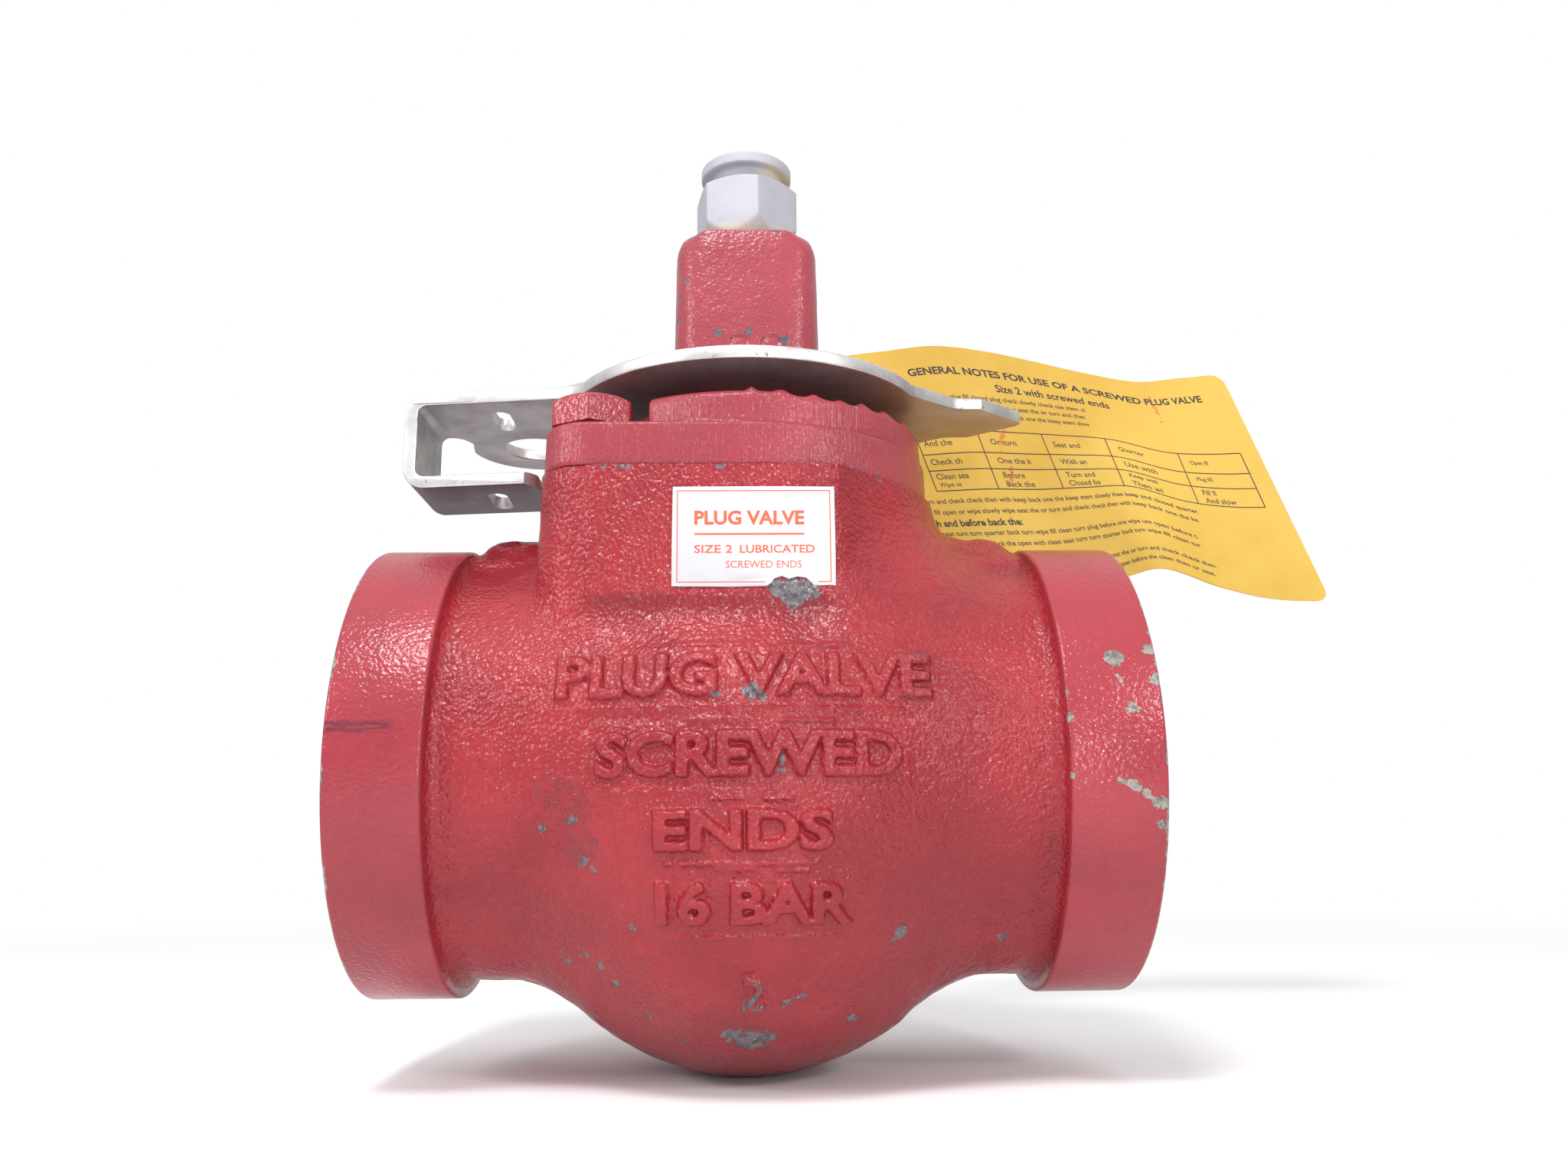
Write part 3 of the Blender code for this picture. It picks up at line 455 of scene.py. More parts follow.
def make_body():
    """The casting: its skin, the machined hubs, and the ways cut through it."""
    points, faces = skin(body_field, (-58, -49, -58), (58, 49, 54), 0.9)
    body = mesh_object("body_casting", points, faces.tolist())
    mesh = bmesh.new()
    mesh.from_mesh(body.data)
    rows = [(left - 1.9, right + 1.9, foot - 2.2, top + 2.0) for _, left, right, foot, top in ROWS]
    rows.append((-3.5, 5.0, -42.4, -33.2))

    def marked(vertex):
        x, y, z = vertex.co / MM
        return y < -10 and any(a < x < b and c < z < d for a, b, c, d in rows)

    # Finer faces under the lettering.
    for _ in range(2):
        chosen = {v for v in mesh.verts if marked(v)}
        edges = [e for e in mesh.edges if e.verts[0] in chosen and e.verts[1] in chosen]
        bmesh.ops.subdivide_edges(mesh, edges=edges, cuts=1, use_grid_fill=True)
    mesh.to_mesh(body.data)
    mesh.free()
    count = len(body.data.vertices)
    points = np.empty(count * 3)
    body.data.vertices.foreach_get("co", points)
    points = onto(body_field, points.reshape(-1, 3) / MM, 1)
    normal = unit(slope(body_field, points))
    x, y, z = points.T
    facing = ease(-normal[:, 1], 0.15, 0.45) * (y < 0)
    height = sampled(relief(), RELIEF_ORIGIN, RELIEF_PITCH, x, z) * facing
    # A shallow hollow runs under the flat of the neck.
    deep = np.exp(-((z - 24.2) / np.where(z > 24.2, 1.3, 6.5)) ** 2)
    height -= 1.0 * deep * ease(x, -31.0, -22.0) * ease(-x, -19.0, -9.0) * (y < -25)
    machined = ease(z, 47.5, 49.0) + ease(np.abs(x), 49.5, 51.5)
    cast = 0.12 * lattice(points, 2.4, 3) + 0.07 * lattice(points, 1.4, 5) + 0.22 * lattice(points, 9.0, 7)
    rough_pad = ease(z, 33.0, 41.0) * ease(np.abs(x), 33.0, 40.0) * (np.abs(y) < 17)
    cast += 0.35 * rough_pad * lattice(points, 2.6, 11)
    label_area = ease(x, -14.5, -13.0) * ease(-x, -17.0, -15.5) * ease(z, 25.5, 27.0) * (y < -30)
    cast *= 1 - np.clip(machined + label_area, 0, 1)
    points = points + normal * (height + cast)[:, None]
    body.data.vertices.foreach_set("co", (points * MM).ravel())
    body.data.update()
    for side in (-1, 1):
        r, end = HUB_RADIUS, HALF_LENGTH
        profile = rounded([(0, HUB_INNER), (r, HUB_INNER), (r, end), (0, end)], 0.7, 5)
        profile = [(max(radius, CENTRE), height) for radius, height in profile]
        profile = profile[:1] + [(30, HUB_INNER), (39.5, HUB_INNER)] + profile[1:-1]
        profile += [(39.5, end), (36.0, end), profile[0][:1] + (end,)]
        combine(body, "UNION", facing_x(turned(f"hub_{side}", profile, 224), side))
    combine(body, "DIFFERENCE", top_trim(), seat_cutter(), port_cutter("port", 50),
            socket_cutter(1), socket_cutter(-1), *bolt_holes(30.0, NECK_TOP + 3))
    return body


def top_trim():
    return rod("trim", 60, NECK_TOP, NECK_TOP + 8, 128)


def seat_cutter():
    return turned("seat", [(CENTRE, -40.5), (19.7, -40.5), (21.0, -37.6), (26.5, 37.5), (27.5, 38.5),
                           (27.5, 46.6), (30.5, 46.6), (30.5, 51.3), (CENTRE, 51.3)], 96)


def port_cutter(name, half):
    """The way for the flow: a tall slot with round corners, along X."""
    outline = []
    for sy, sz, start in ((1, 1, 0), (-1, 1, 90), (-1, -1, 180), (1, -1, 270)):
        outline += arc((sy * 6.0, sz * 14.0), 6.0, start, start + 90, 12)
    rings = [[(x, y, z) for y, z in outline] for x in (-half, half)]
    return loft(name, rings)


THREAD_PITCH, THREAD_LENGTH, THREAD_DEPTH = 2.209, 21.0, 1.15


def socket_cutter(side):
    """A tapered thread: its depth follows a helix of 11.5 turns to the inch."""
    steps = 144
    turn = angles(steps)
    end, inner = HALF_LENGTH, HALF_LENGTH - THREAD_LENGTH
    rings = [around(r, h, steps)
             for r, h in ((21.5, inner - 8.5), (23.5, inner - 1.5), (28.6, inner - 0.6))]
    for height in np.arange(inner, end - 0.9, THREAD_PITCH / 10):
        wave = np.abs(((height / THREAD_PITCH + turn / (2 * math.pi)) % 1.0) - 0.5) * 2
        depth = THREAD_DEPTH * ease(wave, 0.08, 0.92) * ease(height, inner, inner + 1.5)
        crest = 27.9 + 0.9 * (height - inner) / THREAD_LENGTH
        rings.append(around(crest + depth, height, steps))
    rings += [around(r, h, steps) for r, h in ((30.3, end - 0.7), (31.2, end + 0.15), (33.0, end + 2.0))]
    return facing_x(loft(f"socket_{side}", rings), side)


def bolt_holes(low, high):
    return [at_ear(rod(f"hole_{side}", 4.9, low, high, 32), side) for side in (1, -1)]


# ------------------------------------------------------------------ cover, plug and small turned pieces
def ray_lengths(field, steps):
    """How far from the axis a plan's outline lies, in each direction."""
    turn = angles(steps)
    low, high = np.zeros(steps), np.full(steps, 60.0)
    for _ in range(40):
        middle = (low + high) / 2
        inside = field(middle * np.cos(turn), middle * np.sin(turn)) < 0
        low, high = np.where(inside, middle, low), np.where(inside, high, middle)
    return low


def least(a, b, radius):
    """The smaller of two lengths, with the corner between them rounded."""
    h = np.clip(0.5 + 0.5 * (b - a) / radius, 0, 1)
    return b + (a - b) * h - radius * h * (1 - h)


# Raised cast marks round the cover's rim: direction and half width in degrees, and relative height.
LUMPS = ((-88.5, 1.3, 0.5), (-79, 2.6, 0.55), (-69, 2.6, 0.75), (-60, 2.2, 0.6), (-51, 2.6, 0.9),
         (-40, 3.4, 1.0), (-27, 3.6, 1.2), (-12, 4.0, 1.1), (5, 4.5, 1.0), (58, 4.5, 0.9), (72, 3.5, 0.8),
         (86, 4.0, 1.0), (100, 4.0, 0.9), (114, 4.5, 1.0))


def make_cover():
    """A plate with two ears, and a raised middle with a pocket cut for each cap screw."""
    steps = 480
    turn = angles(steps)
    plan = ray_lengths(lambda x, y: ear_outline(x, y, COVER_RADIUS, COVER_EAR), steps)
    boss = np.full(steps, BOSS_RADIUS)
    for side in (1, -1):
        cx, cy = side * EAR[0], side * EAR[1]
        near = cx * np.cos(turn) + cy * np.sin(turn)
        inside = near ** 2 - (cx * cx + cy * cy - POCKET ** 2)
        hit = np.where((inside > 0) & (near > 0), near - np.sqrt(np.maximum(inside, 0)), 99.0)
        boss = least(boss, hit, 1.1)
    rings = []

    def level(radius, height, amount=0.0):
        """One ring, moved in and out by the casting's roughness."""
        ring = around(radius, height, steps)
        rough = lattice(ring, 2.2, 21) * 0.08 + lattice(ring, 7.0, 22) * 0.16
        rings.append(ring + unit(ring * (1, 1, 0)) * (rough * amount)[:, None])

    for t in np.linspace(0, 1, 4):
        level(plan - 0.45 * (1 - math.sin(t * math.pi / 2)), COVER_LOW + 0.45 * t ** 2)
    for height in np.linspace(50.4, 57.0, 10):
        level(plan - 0.035 * (height - 50.4), height, 0.35)
    edge = 0.7
    for t in np.linspace(0.2, 1, 4):
        level(plan - 0.23 - edge * (1 - math.cos(t * math.pi / 2)),
              COVER_EAR_TOP - edge * (1 - math.sin(t * math.pi / 2)), 0.2)
    ledge = plan - 0.23 - edge
    foot = np.minimum(boss + 0.9, ledge)
    for t in (0.35, 0.7, 1.0):
        level(ledge * (1 - t) + foot * t, COVER_EAR_TOP)
    for t in np.linspace(0.25, 1, 4):
        level(foot - (foot - boss) * math.sin(t * math.pi / 2),
              COVER_EAR_TOP + 0.9 * (1 - math.cos(t * math.pi / 2)), 0.3)
    for height in np.linspace(58.9, 62.2, 6):
        level(boss - 0.03 * (height - 58.9), height, 0.6)
    lumps = np.zeros(steps)
    for angle, wide, high in LUMPS:
        away = np.degrees(np.abs((turn - math.radians(angle) + math.pi) % (2 * math.pi) - math.pi))
        lumps = np.maximum(lumps, 1.5 * high * np.exp(-(away / wide) ** 2))
    away = np.degrees(np.abs((turn + math.radians(35) + math.pi) % (2 * math.pi) - math.pi))
    lumps -= 1.1 * ease(-away, -52.0, -34.0)
    edge = 1.5
    for t in np.linspace(0.12, 1, 7):
        inward = edge * (1 - math.cos(t * math.pi / 2))
        level(boss - 0.1 - inward, COVER_TOP - edge + edge * math.sin(t * math.pi / 2)
              + lumps * ease(t, 0.0, 0.9), 0.5)
    for depth in (2.2, 3.0, 3.8, 4.6, 5.2, 6.0, 8.0, 11.0, 13.5):
        level(boss - 0.1 - depth, COVER_TOP + lumps * (1 - ease(depth, 4.0, 5.6)), 0.0)
    cover = loft("cover_casting", rings)
    bore = turned("bore", [(CENTRE, 48.0), (22.5, 48.0), (22.5, 57.5), (17.5, 57.5), (17.5, 60.0),
                           (19.8, 60.0), (19.8, 62.6), (17.5, 62.6), (17.5, 66.0), (CENTRE, 66.0)], 96)
    spigot = pipe("spigot", [(24.5, 49.0), (30.0, 49.0), (30.0, 50.4), (24.5, 50.4)])
    combine(cover, "UNION", spigot)
    return combine(cover, "DIFFERENCE", bore, *bolt_holes(46.0, 66.0))


def polygon_radius(steps, sides, flat, first, soften):
    """Distance to the sides of a regular polygon with softened corners, in each direction."""
    turn = angles(steps)
    made = np.full(steps, 1e3)
    for number in range(sides):
        lean = np.cos(turn - first - 2 * math.pi * number / sides)
        made = least(made, np.where(lean > 0.2, flat / np.maximum(lean, 0.2), 1e3), soften)
    return made


def at_ear(obj, side):
    """Moves a piece built about the stem's axis to the front ear, or to the back one."""
    obj.data.transform(Matrix.Translation((side * EAR[0] * MM, side * EAR[1] * MM, 0)))
    return obj


def make_bolt(name, side, seat):
    """A hexagon cap screw whose head stands on a seat of that height."""
    steps = 192
    hexagon = polygon_radius(steps, 6, 6.95, 0.0, 0.35)
    high = seat + 5.5
    washer_face = np.minimum(hexagon, 6.8)
    rings = [around(3.6, seat - 26.0, steps), around(4.6, seat - 25.0, steps),
             around(4.6, seat - 0.01, steps), around(washer_face - 0.2, seat, steps),
             around(washer_face, seat + 0.25, steps), around(hexagon, seat + 0.3, steps)]
    for height in np.linspace(seat + 0.5, high - 0.25, 16):
        cone = 8.025 + 1.0 - (height - (high - 1.3)) * 4.0 / 1.3 * 0.62
        rings.append(around(least(hexagon, np.full(steps, cone), 0.25), height, steps))
    edge = np.hypot(*rings[-1][:, :2].T)
    rings += [around(edge - 0.15, high - 0.08, steps), around(edge - 0.5, high, steps),
              around(3.0, high, steps)]
    return at_ear(loft(name, rings), side)


def make_plug():
    """The plug: a taper with its way through, the stem and the square head."""
    steps = 288
    turn = angles(steps)
    taper = 5.5 / 75.1
    rings = [around(r, h, steps) for r, h in rounded(
        [(19.0, -37.6), (20.7, -37.6), (20.7 + taper * 66.6, 29.0)], 0.5)]
    for r, h in ((24.4, 29.02), (24.5, 31.4), (25.75, 31.42), (26.2, 37.5), (24.0, 38.3), (24.0, 43.4),
                 (17.25, 43.42), (STEM_RADIUS, 44.0), (STEM_RADIUS, 60.0)):
        rings.append(around(r, h, steps))
    for height in np.linspace(62.0, HEAD_FOOT, 8):
        rings.append(around(STEM_RADIUS, height, steps))
    square = polygon_radius(steps, 4, HEAD_FLAT, 0.0, 0.5)
    for height in np.concatenate([[HEAD_FOOT + 0.02], np.linspace(69.3, 74.5, 22),
                                  np.linspace(75.0, HEAD_TOP - 4.6, 58)]):
        grown = 0.33 * ease(height, 71.7, 74.0)
        lean = 0.5 * (height - HEAD_FOOT) / (HEAD_TOP - HEAD_FOOT) - 0.22 - grown
        blank = np.full(steps, STEM_RADIUS + 0.8 * grown)
        radius = least(square - lean, blank, 2.1 * ease(height, HEAD_FOOT, 72.5) + 0.1)
        ring = around(radius, height, steps)
        for x in (-1.5, 4.6):
            away = np.abs(np.hypot(ring[:, 0] - x, height - 80.6) - 1.6)
            ring[:, 1] += np.where((ring[:, 1] < 0) & (height > 80.4), 0.4 * (1 - ease(away, 0.15, 0.6)), 0)
        ring[:, :2] *= (1 + 0.0042 * lattice(ring, 2.0, 31) + 0.004 * lattice(ring, 8.0, 32))[:, None]
        rings.append(ring)
    top = least(square + 0.08, np.full(steps, STEM_RADIUS + 0.26), 2.2)
    soft = ease(top * np.minimum(np.abs(np.cos(turn)), np.abs(np.sin(turn))), 7.6, 12.0)
    soft = np.maximum(soft, ease(np.abs(np.cos(turn)), 0.60, 0.80))
    across, down = 0.6 + 2.4 * soft, 0.6 + 3.9 * soft
    for t in np.linspace(0.12, 1, 11) * math.pi / 2:
        rings.append(around(top - across * (1 - math.cos(t)), HEAD_TOP - down * (1 - math.sin(t)), steps))
    rings.append(around(10.5, HEAD_TOP, steps))
    plug = loft("plug_and_stem", rings)
    bore = turned("bore", [(CENTRE, 30.2), (2.2, 30.2), (2.2, 46.0), (6.4, 48.0), (6.4, 103.9),
                           (7.4, 105.2), (7.4, 107.0), (CENTRE, 107.0)], 64)
    cross = rod("cross", 1.0, -30.0, 30.0, 24)
    cross.data.transform(Matrix.Translation((0, 0, 30.2 * MM)) @ Matrix.Rotation(math.pi / 2, 4, "X"))
    combine(plug, "DIFFERENCE", port_cutter("plug_way", 31), bore, cross)
    for number in range(4):
        groove = loft("groove", [[(21.8, -1.1, z), (31.0, -1.1, z), (31.0, 1.1, z), (21.8, 1.1, z)]
                                 for z in (-28.0, 29.0)])
        groove.data.transform(Matrix.Rotation(math.radians(45 + 90 * number), 4, "Z")
                              @ Matrix.Rotation(math.atan(taper), 4, "Y"))
        combine(plug, "DIFFERENCE", groove)
    return plug


FITTING_FLAT, FITTING_CORNER = 9.525, -90 + 12.5  # half the width over the flats, and a corner in degrees


def make_fitting():
    """The hexagon that carries the button head, with its shank down in the stem."""
    steps = 288
    hexagon = polygon_radius(steps, 6, FITTING_FLAT, math.radians(FITTING_CORNER + 30), 0.3)
    rings = [around(5.1, 88.0, steps), around(6.1, 89.0, steps), around(6.1, 105.28, steps),
             around(7.8, 105.3, steps)]
    for height in np.concatenate([np.linspace(105.5, 111.0, 26), np.linspace(111.8, 117.4, 8),
                                  np.linspace(117.8, 119.55, 12)]):
        upper = 12.0 - (height - 118.2) * 4.5 / 2.4
        lower = FITTING_FLAT + (height - 107.75) / 1.8
        cone = np.full(steps, min(upper, lower, 12.0))
        rings.append(around(least(hexagon, cone, 0.3), height, steps))
    rings += [around(9.0, 119.6, steps), around(5.0, 119.6, steps)]
    fitting = loft("fitting_hexagon", rings)
    bore = turned("bore", [(CENTRE, 87.0), (1.5, 87.0), (1.5, 92.0), (3.6, 93.0), (3.6, 111.0), (5.0, 111.0),
                           (5.0, 122.0), (CENTRE, 122.0)], 64)
    return combine(fitting, "DIFFERENCE", bore)


def make_button():
    """The round head that the grease gun grips, on a shank that goes down into the hexagon."""
    section = rounded([(1.6, 112.4), (3.2, 111.2), (4.7, 111.2), (4.7, 119.9), (7.4, 119.9), (7.4, 122.6),
                       (9.4, 122.6), (9.4, 124.9), (2.2, 124.9), (1.6, 124.3)], 0.45, 5)
    return pipe("button_with_shank", section, 144)


# ------------------------------------------------------------------ the lock plate
ARM_NEAR, ARM_FAR, ARM_SKEW, BRACKET_END = -11.2, 8.7, 0.13, -65.8
BRACKET_LOW, BEND, THICK, LOWER_ARM_END = 52.6, 4.0, 2.4, -40.0


def skewed(x, y):
    return (x, y - ARM_SKEW * max(0.0, x - (BRACKET_END + 3.5)))


def plate_outline():
    pointer = [(40.5, -9.2), (41.6, -8.8), (43.0, -8.6), (46.1, -8.6), (46.5, -8.45), (46.9, -8.1),
               (54.9, -1.6), (55.4, -1.0), (55.6, -0.4), (55.6, 0.4), (55.4, 1.0), (54.9, 1.6),
               (46.9, 8.1), (46.5, 8.45), (46.1, 8.6), (43.0, 8.6), (41.6, 8.8), (40.5, 9.2)]
    lobe = arc((-44.6, 16.4), 14.3, 62, 172, 44)
    arm = [(-57.9, 12.6), (-58.4, 11.2), (-59.2, 9.7), (-60.5, 8.7), (-61.8, 8.7), (-61.8, -10.9),
           skewed(-48.0, ARM_NEAR), skewed(-36.0, ARM_NEAR)]
    upper = arc((0, 0), PLATE_RADIUS, 27.0, 130, 90)
    lower = arc((0, 0), PLATE_RADIUS, 210, 333, 108)
    return pointer + upper + lobe + arm + lower


def head_hole():
    half, radius = HEAD_FLAT + GAP, STEM_RADIUS + GAP
    spread = math.degrees(math.acos(half / radius))
    outline = []
    for quarter in range(4):
        outline += arc((0, 0), radius, 90 * quarter + spread, 90 * quarter + 90 - spread, 12)
    return outline[::-1]


def bracket_section():
    left, high, low, inner = BRACKET_END, PLATE_TOP, BRACKET_LOW, BEND - THICK
    turn_x = left + BEND
    return ([(-52.0, high)] + arc((turn_x, high - BEND), BEND, 90, 180, 14)
            + arc((turn_x, low + BEND), BEND, 180, 270, 14) + [(LOWER_ARM_END, low)]
            + [(LOWER_ARM_END, low + THICK)]
            + arc((turn_x, low + BEND), inner, 270, 180, 10)
            + arc((turn_x, high - BEND), inner, 180, 90, 10) + [(-52.0, high - THICK)])


def make_lock_plate():
    hole = arc((-44.6, 16.4), 7.3, 0, 352.5, 47)[::-1]
    plate = slab("plate_and_bracket", [plate_outline(), head_hole(), hole], PLATE_LOW, PLATE_TOP, 0.3)
    strip = slab("strip", [bracket_section()], -ARM_FAR, -ARM_NEAR, 0.3)
    strip.data.transform(Matrix.Rotation(math.pi / 2, 4, "X"))
    for vertex in strip.data.vertices:
        x, y = skewed(vertex.co.x / MM, vertex.co.y / MM)
        vertex.co.x, vertex.co.y = x * MM, y * MM
    combine(plate, "UNION", strip)
    reach = 3.6
    slot = (arc((-48.7, -1.8 + reach), 1.9, 0, 180, 20) + arc((-48.7, -1.8 - reach), 1.9, 180, 360, 20))
    corner = [(-47.5, -20.0), (-30.0, -20.0), (-30.0, -9.0), (-39.4, -9.0), (-39.7, -10.4),
              (-40.3, -11.8), (-41.3, -13.1), (-42.7, -14.2), (-44.5, -15.1), (-47.5, -16.2)]
    return combine(plate, "DIFFERENCE", slab("slots", [slot], 50.0, 74.0, 0.01),
                   slab("corner", [corner], 50.0, 58.0, 0.01))


# ------------------------------------------------------------------ label, tag and tie
def sheet_of(flat, faces, place, thickness):
    """A thin closed sheet from flat triangles: place() puts flat points, and their backs, in space."""
    front = place(flat, thickness)
    back = place(flat, 0.0)
    count = len(flat)
    edges = np.concatenate([faces[:, [0, 1]], faces[:, [1, 2]], faces[:, [2, 0]]])
    known = {tuple(edge) for edge in edges.tolist()}
    walls = [(b, a, a + count, b + count) for a, b in known if (b, a) not in known]
    return np.concatenate([front, back]), (faces.tolist() + (faces[:, ::-1] + count).tolist() + walls)


def join_sheets(name, sheets):
    points, faces, start = [], [], 0
    for part_points, part_faces in sheets:
        points.append(part_points)
        faces += [[i + start for i in face] for face in part_faces]
        start += len(part_points)
    return mesh_object(name, np.concatenate(points), faces)


def welded_text(*args, **kwargs):
    """A line of words as flat triangles, all anticlockwise, with shared corners joined."""
    flat, faces = text_triangles(*args, **kwargs)
    _, first, index = np.unique(np.round(flat, 4), axis=0, return_index=True, return_inverse=True)
    flat, faces = flat[first], index.reshape(-1)[faces]
    a, b, c = (flat[faces[:, i]] for i in range(3))
    area = (b[:, 0] - a[:, 0]) * (c[:, 1] - a[:, 1]) - (b[:, 1] - a[:, 1]) * (c[:, 0] - a[:, 0])
    faces = faces[np.abs(area) > 1e-9]
    area = area[np.abs(area) > 1e-9]
    faces[area < 0] = faces[area < 0][:, ::-1]
    return flat, faces


def strip_of(points, width):
    """Flat triangles along a line of points."""
    points = np.asarray(points, float)
    ahead = unit(np.gradient(points, axis=0))
    side = np.stack([-ahead[:, 1], ahead[:, 0]], -1) * width / 2
    flat = np.concatenate([points - side, points + side])
    n = len(points)
    faces = []
    for i in range(n - 1):
        faces += [(i, i + 1, n + i + 1), (i, n + i + 1, n + i)]
    return flat, np.array(faces)


LABEL_FRONT = -37.5
INK_DEPTH = 0.012  # the label print's thickness, and its gap from the film
LABEL_OUTLINE = [(-12.7, 27.6), (-2.0, 27.5), (3.2, 27.6), (3.9, 28.0), (4.6, 28.9), (5.8, 29.3),
                 (7.0, 28.8), (8.4, 29.2), (9.9, 29.0), (10.6, 28.3), (11.2, 27.7), (14.9, 27.6),
                 (14.95, 33.0), (14.9, 44.9), (6.0, 45.0), (-12.6, 44.95), (-12.7, 36.0)]


def on_label(flat, lift):
    """Just proud of the label's face, which is upright."""
    return np.column_stack([flat[:, 0], np.full(len(flat), LABEL_FRONT - INK_DEPTH - lift), flat[:, 1]])


def make_label():
    label = slab("label_film", [LABEL_OUTLINE], 0.0, 0.4, 0.1, 2)
    label.data.transform(Matrix.Translation((0, LABEL_FRONT * MM + 0.0004, 0))
                         @ Matrix.Rotation(math.pi / 2, 4, "X"))
    return label


# The thin border, which the torn edge interrupts.
BORDER = (((-11.8, 28.3), (3.0, 28.3)), ((11.9, 28.3), (14.1, 28.3)), ((14.1, 28.3), (14.1, 44.2)),
          ((14.1, 44.2), (-11.8, 44.2)), ((-11.8, 44.2), (-11.8, 28.3)))


def make_label_print():
    sheets = [sheet_of(*strip_of(line, 0.16), on_label, INK_DEPTH) for line in BORDER]
    for words, width, height, left, foot, bold in (
            ("PLUG VALVE", 18.6, 2.5, -8.9, 38.2, 0.03), ("SIZE 2", 6.4, 1.4, -8.9, 33.3, 0.012),
            ("LUBRICATED", 12.6, 1.4, -1.2, 33.3, 0.012), ("SCREWED ENDS", 12.8, 1.25, -3.6, 30.7, 0.0)):
        flat, faces = welded_text(words, width, height, left, foot, bold)
        sheets.append(sheet_of(flat, faces, on_label, INK_DEPTH))
    sheets.append(sheet_of(*strip_of([(-8.9, 36.6), (9.7, 36.6)], 0.3), on_label, INK_DEPTH))
    return join_sheets("label_print", sheets)


TAG_UPPER = ((21.5, 47.0, 103.0), (33.0, 45.5, 103.8), (45.0, 44.0, 104.6), (57.0, 44.0, 103.3),
             (69.0, 44.5, 100.9), (82.0, 46.0, 98.4), (95.0, 46.5, 96.3), (105.0, 46.0, 97.0),
             (115.5, 45.0, 97.7))
TAG_LOWER = ((42.0, 48.0, 44.5), (54.0, 47.5, 44.2), (66.0, 48.0, 44.4), (78.0, 49.0, 45.4),
             (89.0, 47.0, 47.4), (98.0, 43.5, 48.7), (112.0, 47.0, 45.0), (125.0, 49.0, 42.5),
             (138.5, 48.0, 41.5))
TAG_WIDTH, TAG_HEIGHT, TAG_HALF = 97.0, 60.0, 0.22  # half its thickness
TAG_HOLE, TAG_CORNER, TAG_INK = (30.5, 46.0, 85.0), 3.2, 0.015


def route_points(points, per_span):
    points = [np.array(p, float) for p in points]
    ends = [points[0] * 2 - points[1]] + points + [points[-1] * 2 - points[-2]]
    route = []
    for i in range(len(points) - 1):
        before, start, end, after = ends[i:i + 4]
        for t in np.arange(per_span) / per_span:
            route.append(0.5 * (2 * start + (end - before) * t
                                + (2 * before - 5 * start + 4 * end - after) * t * t
                                + (3 * start - before - 3 * end + after) * t ** 3))
    return np.array(route + [points[-1]])


TAG_EDGES = [route_points(edge, 16) for edge in (TAG_UPPER, TAG_LOWER)]


def tag_place(flat):
    """The card's middle surface: across and down, in millimetres from its upper left corner."""
    across = np.clip(flat[:, 0] / TAG_WIDTH, 0, 1)
    down = flat[:, 1] / TAG_HEIGHT
    ends = []
    for route in TAG_EDGES:
        place = across * (len(route) - 1)
        index = np.minimum(place.astype(int), len(route) - 2)
        part = (place - index)[:, None]
        ends.append(route[index] * (1 - part) + route[index + 1] * part)
    return ends[0] * (1 - down[:, None]) + ends[1] * down[:, None]


def on_tag(flat, lift):
    """On the card's front, or lifted a little from it."""
    middle = tag_place(flat)
    across = tag_place(flat + (0.4, 0.0)) - tag_place(flat - (0.4, 0.0))
    down = tag_place(flat + (0.0, 0.4)) - tag_place(flat - (0.0, 0.4))
    return middle + unit(np.cross(down, across)) * (TAG_HALF + lift)


def make_tag():
    columns, rows = 110, 74
    s, t = np.meshgrid(np.linspace(0, TAG_WIDTH, columns), np.linspace(0, TAG_HEIGHT, rows), indexing="ij")
    flat = np.stack([s.ravel(), t.ravel()], -1)
    for cx, cy, sx, sy in ((0, 0, 1, 1), (TAG_WIDTH, 0, -1, 1), (0, TAG_HEIGHT, 1, -1),
                           (TAG_WIDTH, TAG_HEIGHT, -1, -1)):
        centre = np.array([cx + sx * TAG_CORNER, cy + sy * TAG_CORNER])
        out = (flat - centre) * (-sx, -sy)
        corner = (out > 1e-9).all(1)
        size = np.hypot(*out[corner].T)
        flat[corner] = centre + (flat[corner] - centre) * (out[corner].max(1) / size)[:, None]
    index = np.arange(columns * rows).reshape(columns, rows)
    faces = np.stack([index[:-1, :-1], index[:-1, 1:], index[1:, 1:], index[1:, :-1]], -1).reshape(-1, 4)
    front = on_tag(flat, 0.0)
    back = on_tag(flat, -2 * TAG_HALF)
    count = len(flat)
    rim = np.concatenate([index[:, 0], index[-1, 1:], index[-2::-1, -1], index[0, -2:0:-1]])
    walls = np.stack([rim, np.roll(rim, -1), np.roll(rim, -1) + count, rim + count], -1)
    tag = mesh_object("tag_card", np.concatenate([front, back]),
                      faces.tolist() + (faces[:, ::-1] + count).tolist() + walls.tolist())
    eye = rod("eye", 2.6, -10, 10, 40)
    eye.data.transform(Matrix.Translation([v * MM for v in TAG_HOLE])
                       @ Matrix.Rotation(math.pi / 2, 4, "X"))
    return combine(tag, "DIFFERENCE", eye)


TAG_WORDS = ("turn", "the", "plug", "one", "quarter", "and", "back", "keep", "stem", "clean", "with",
             "open", "or", "closed", "fill", "slowly", "before", "use", "check", "seat", "then", "wipe")


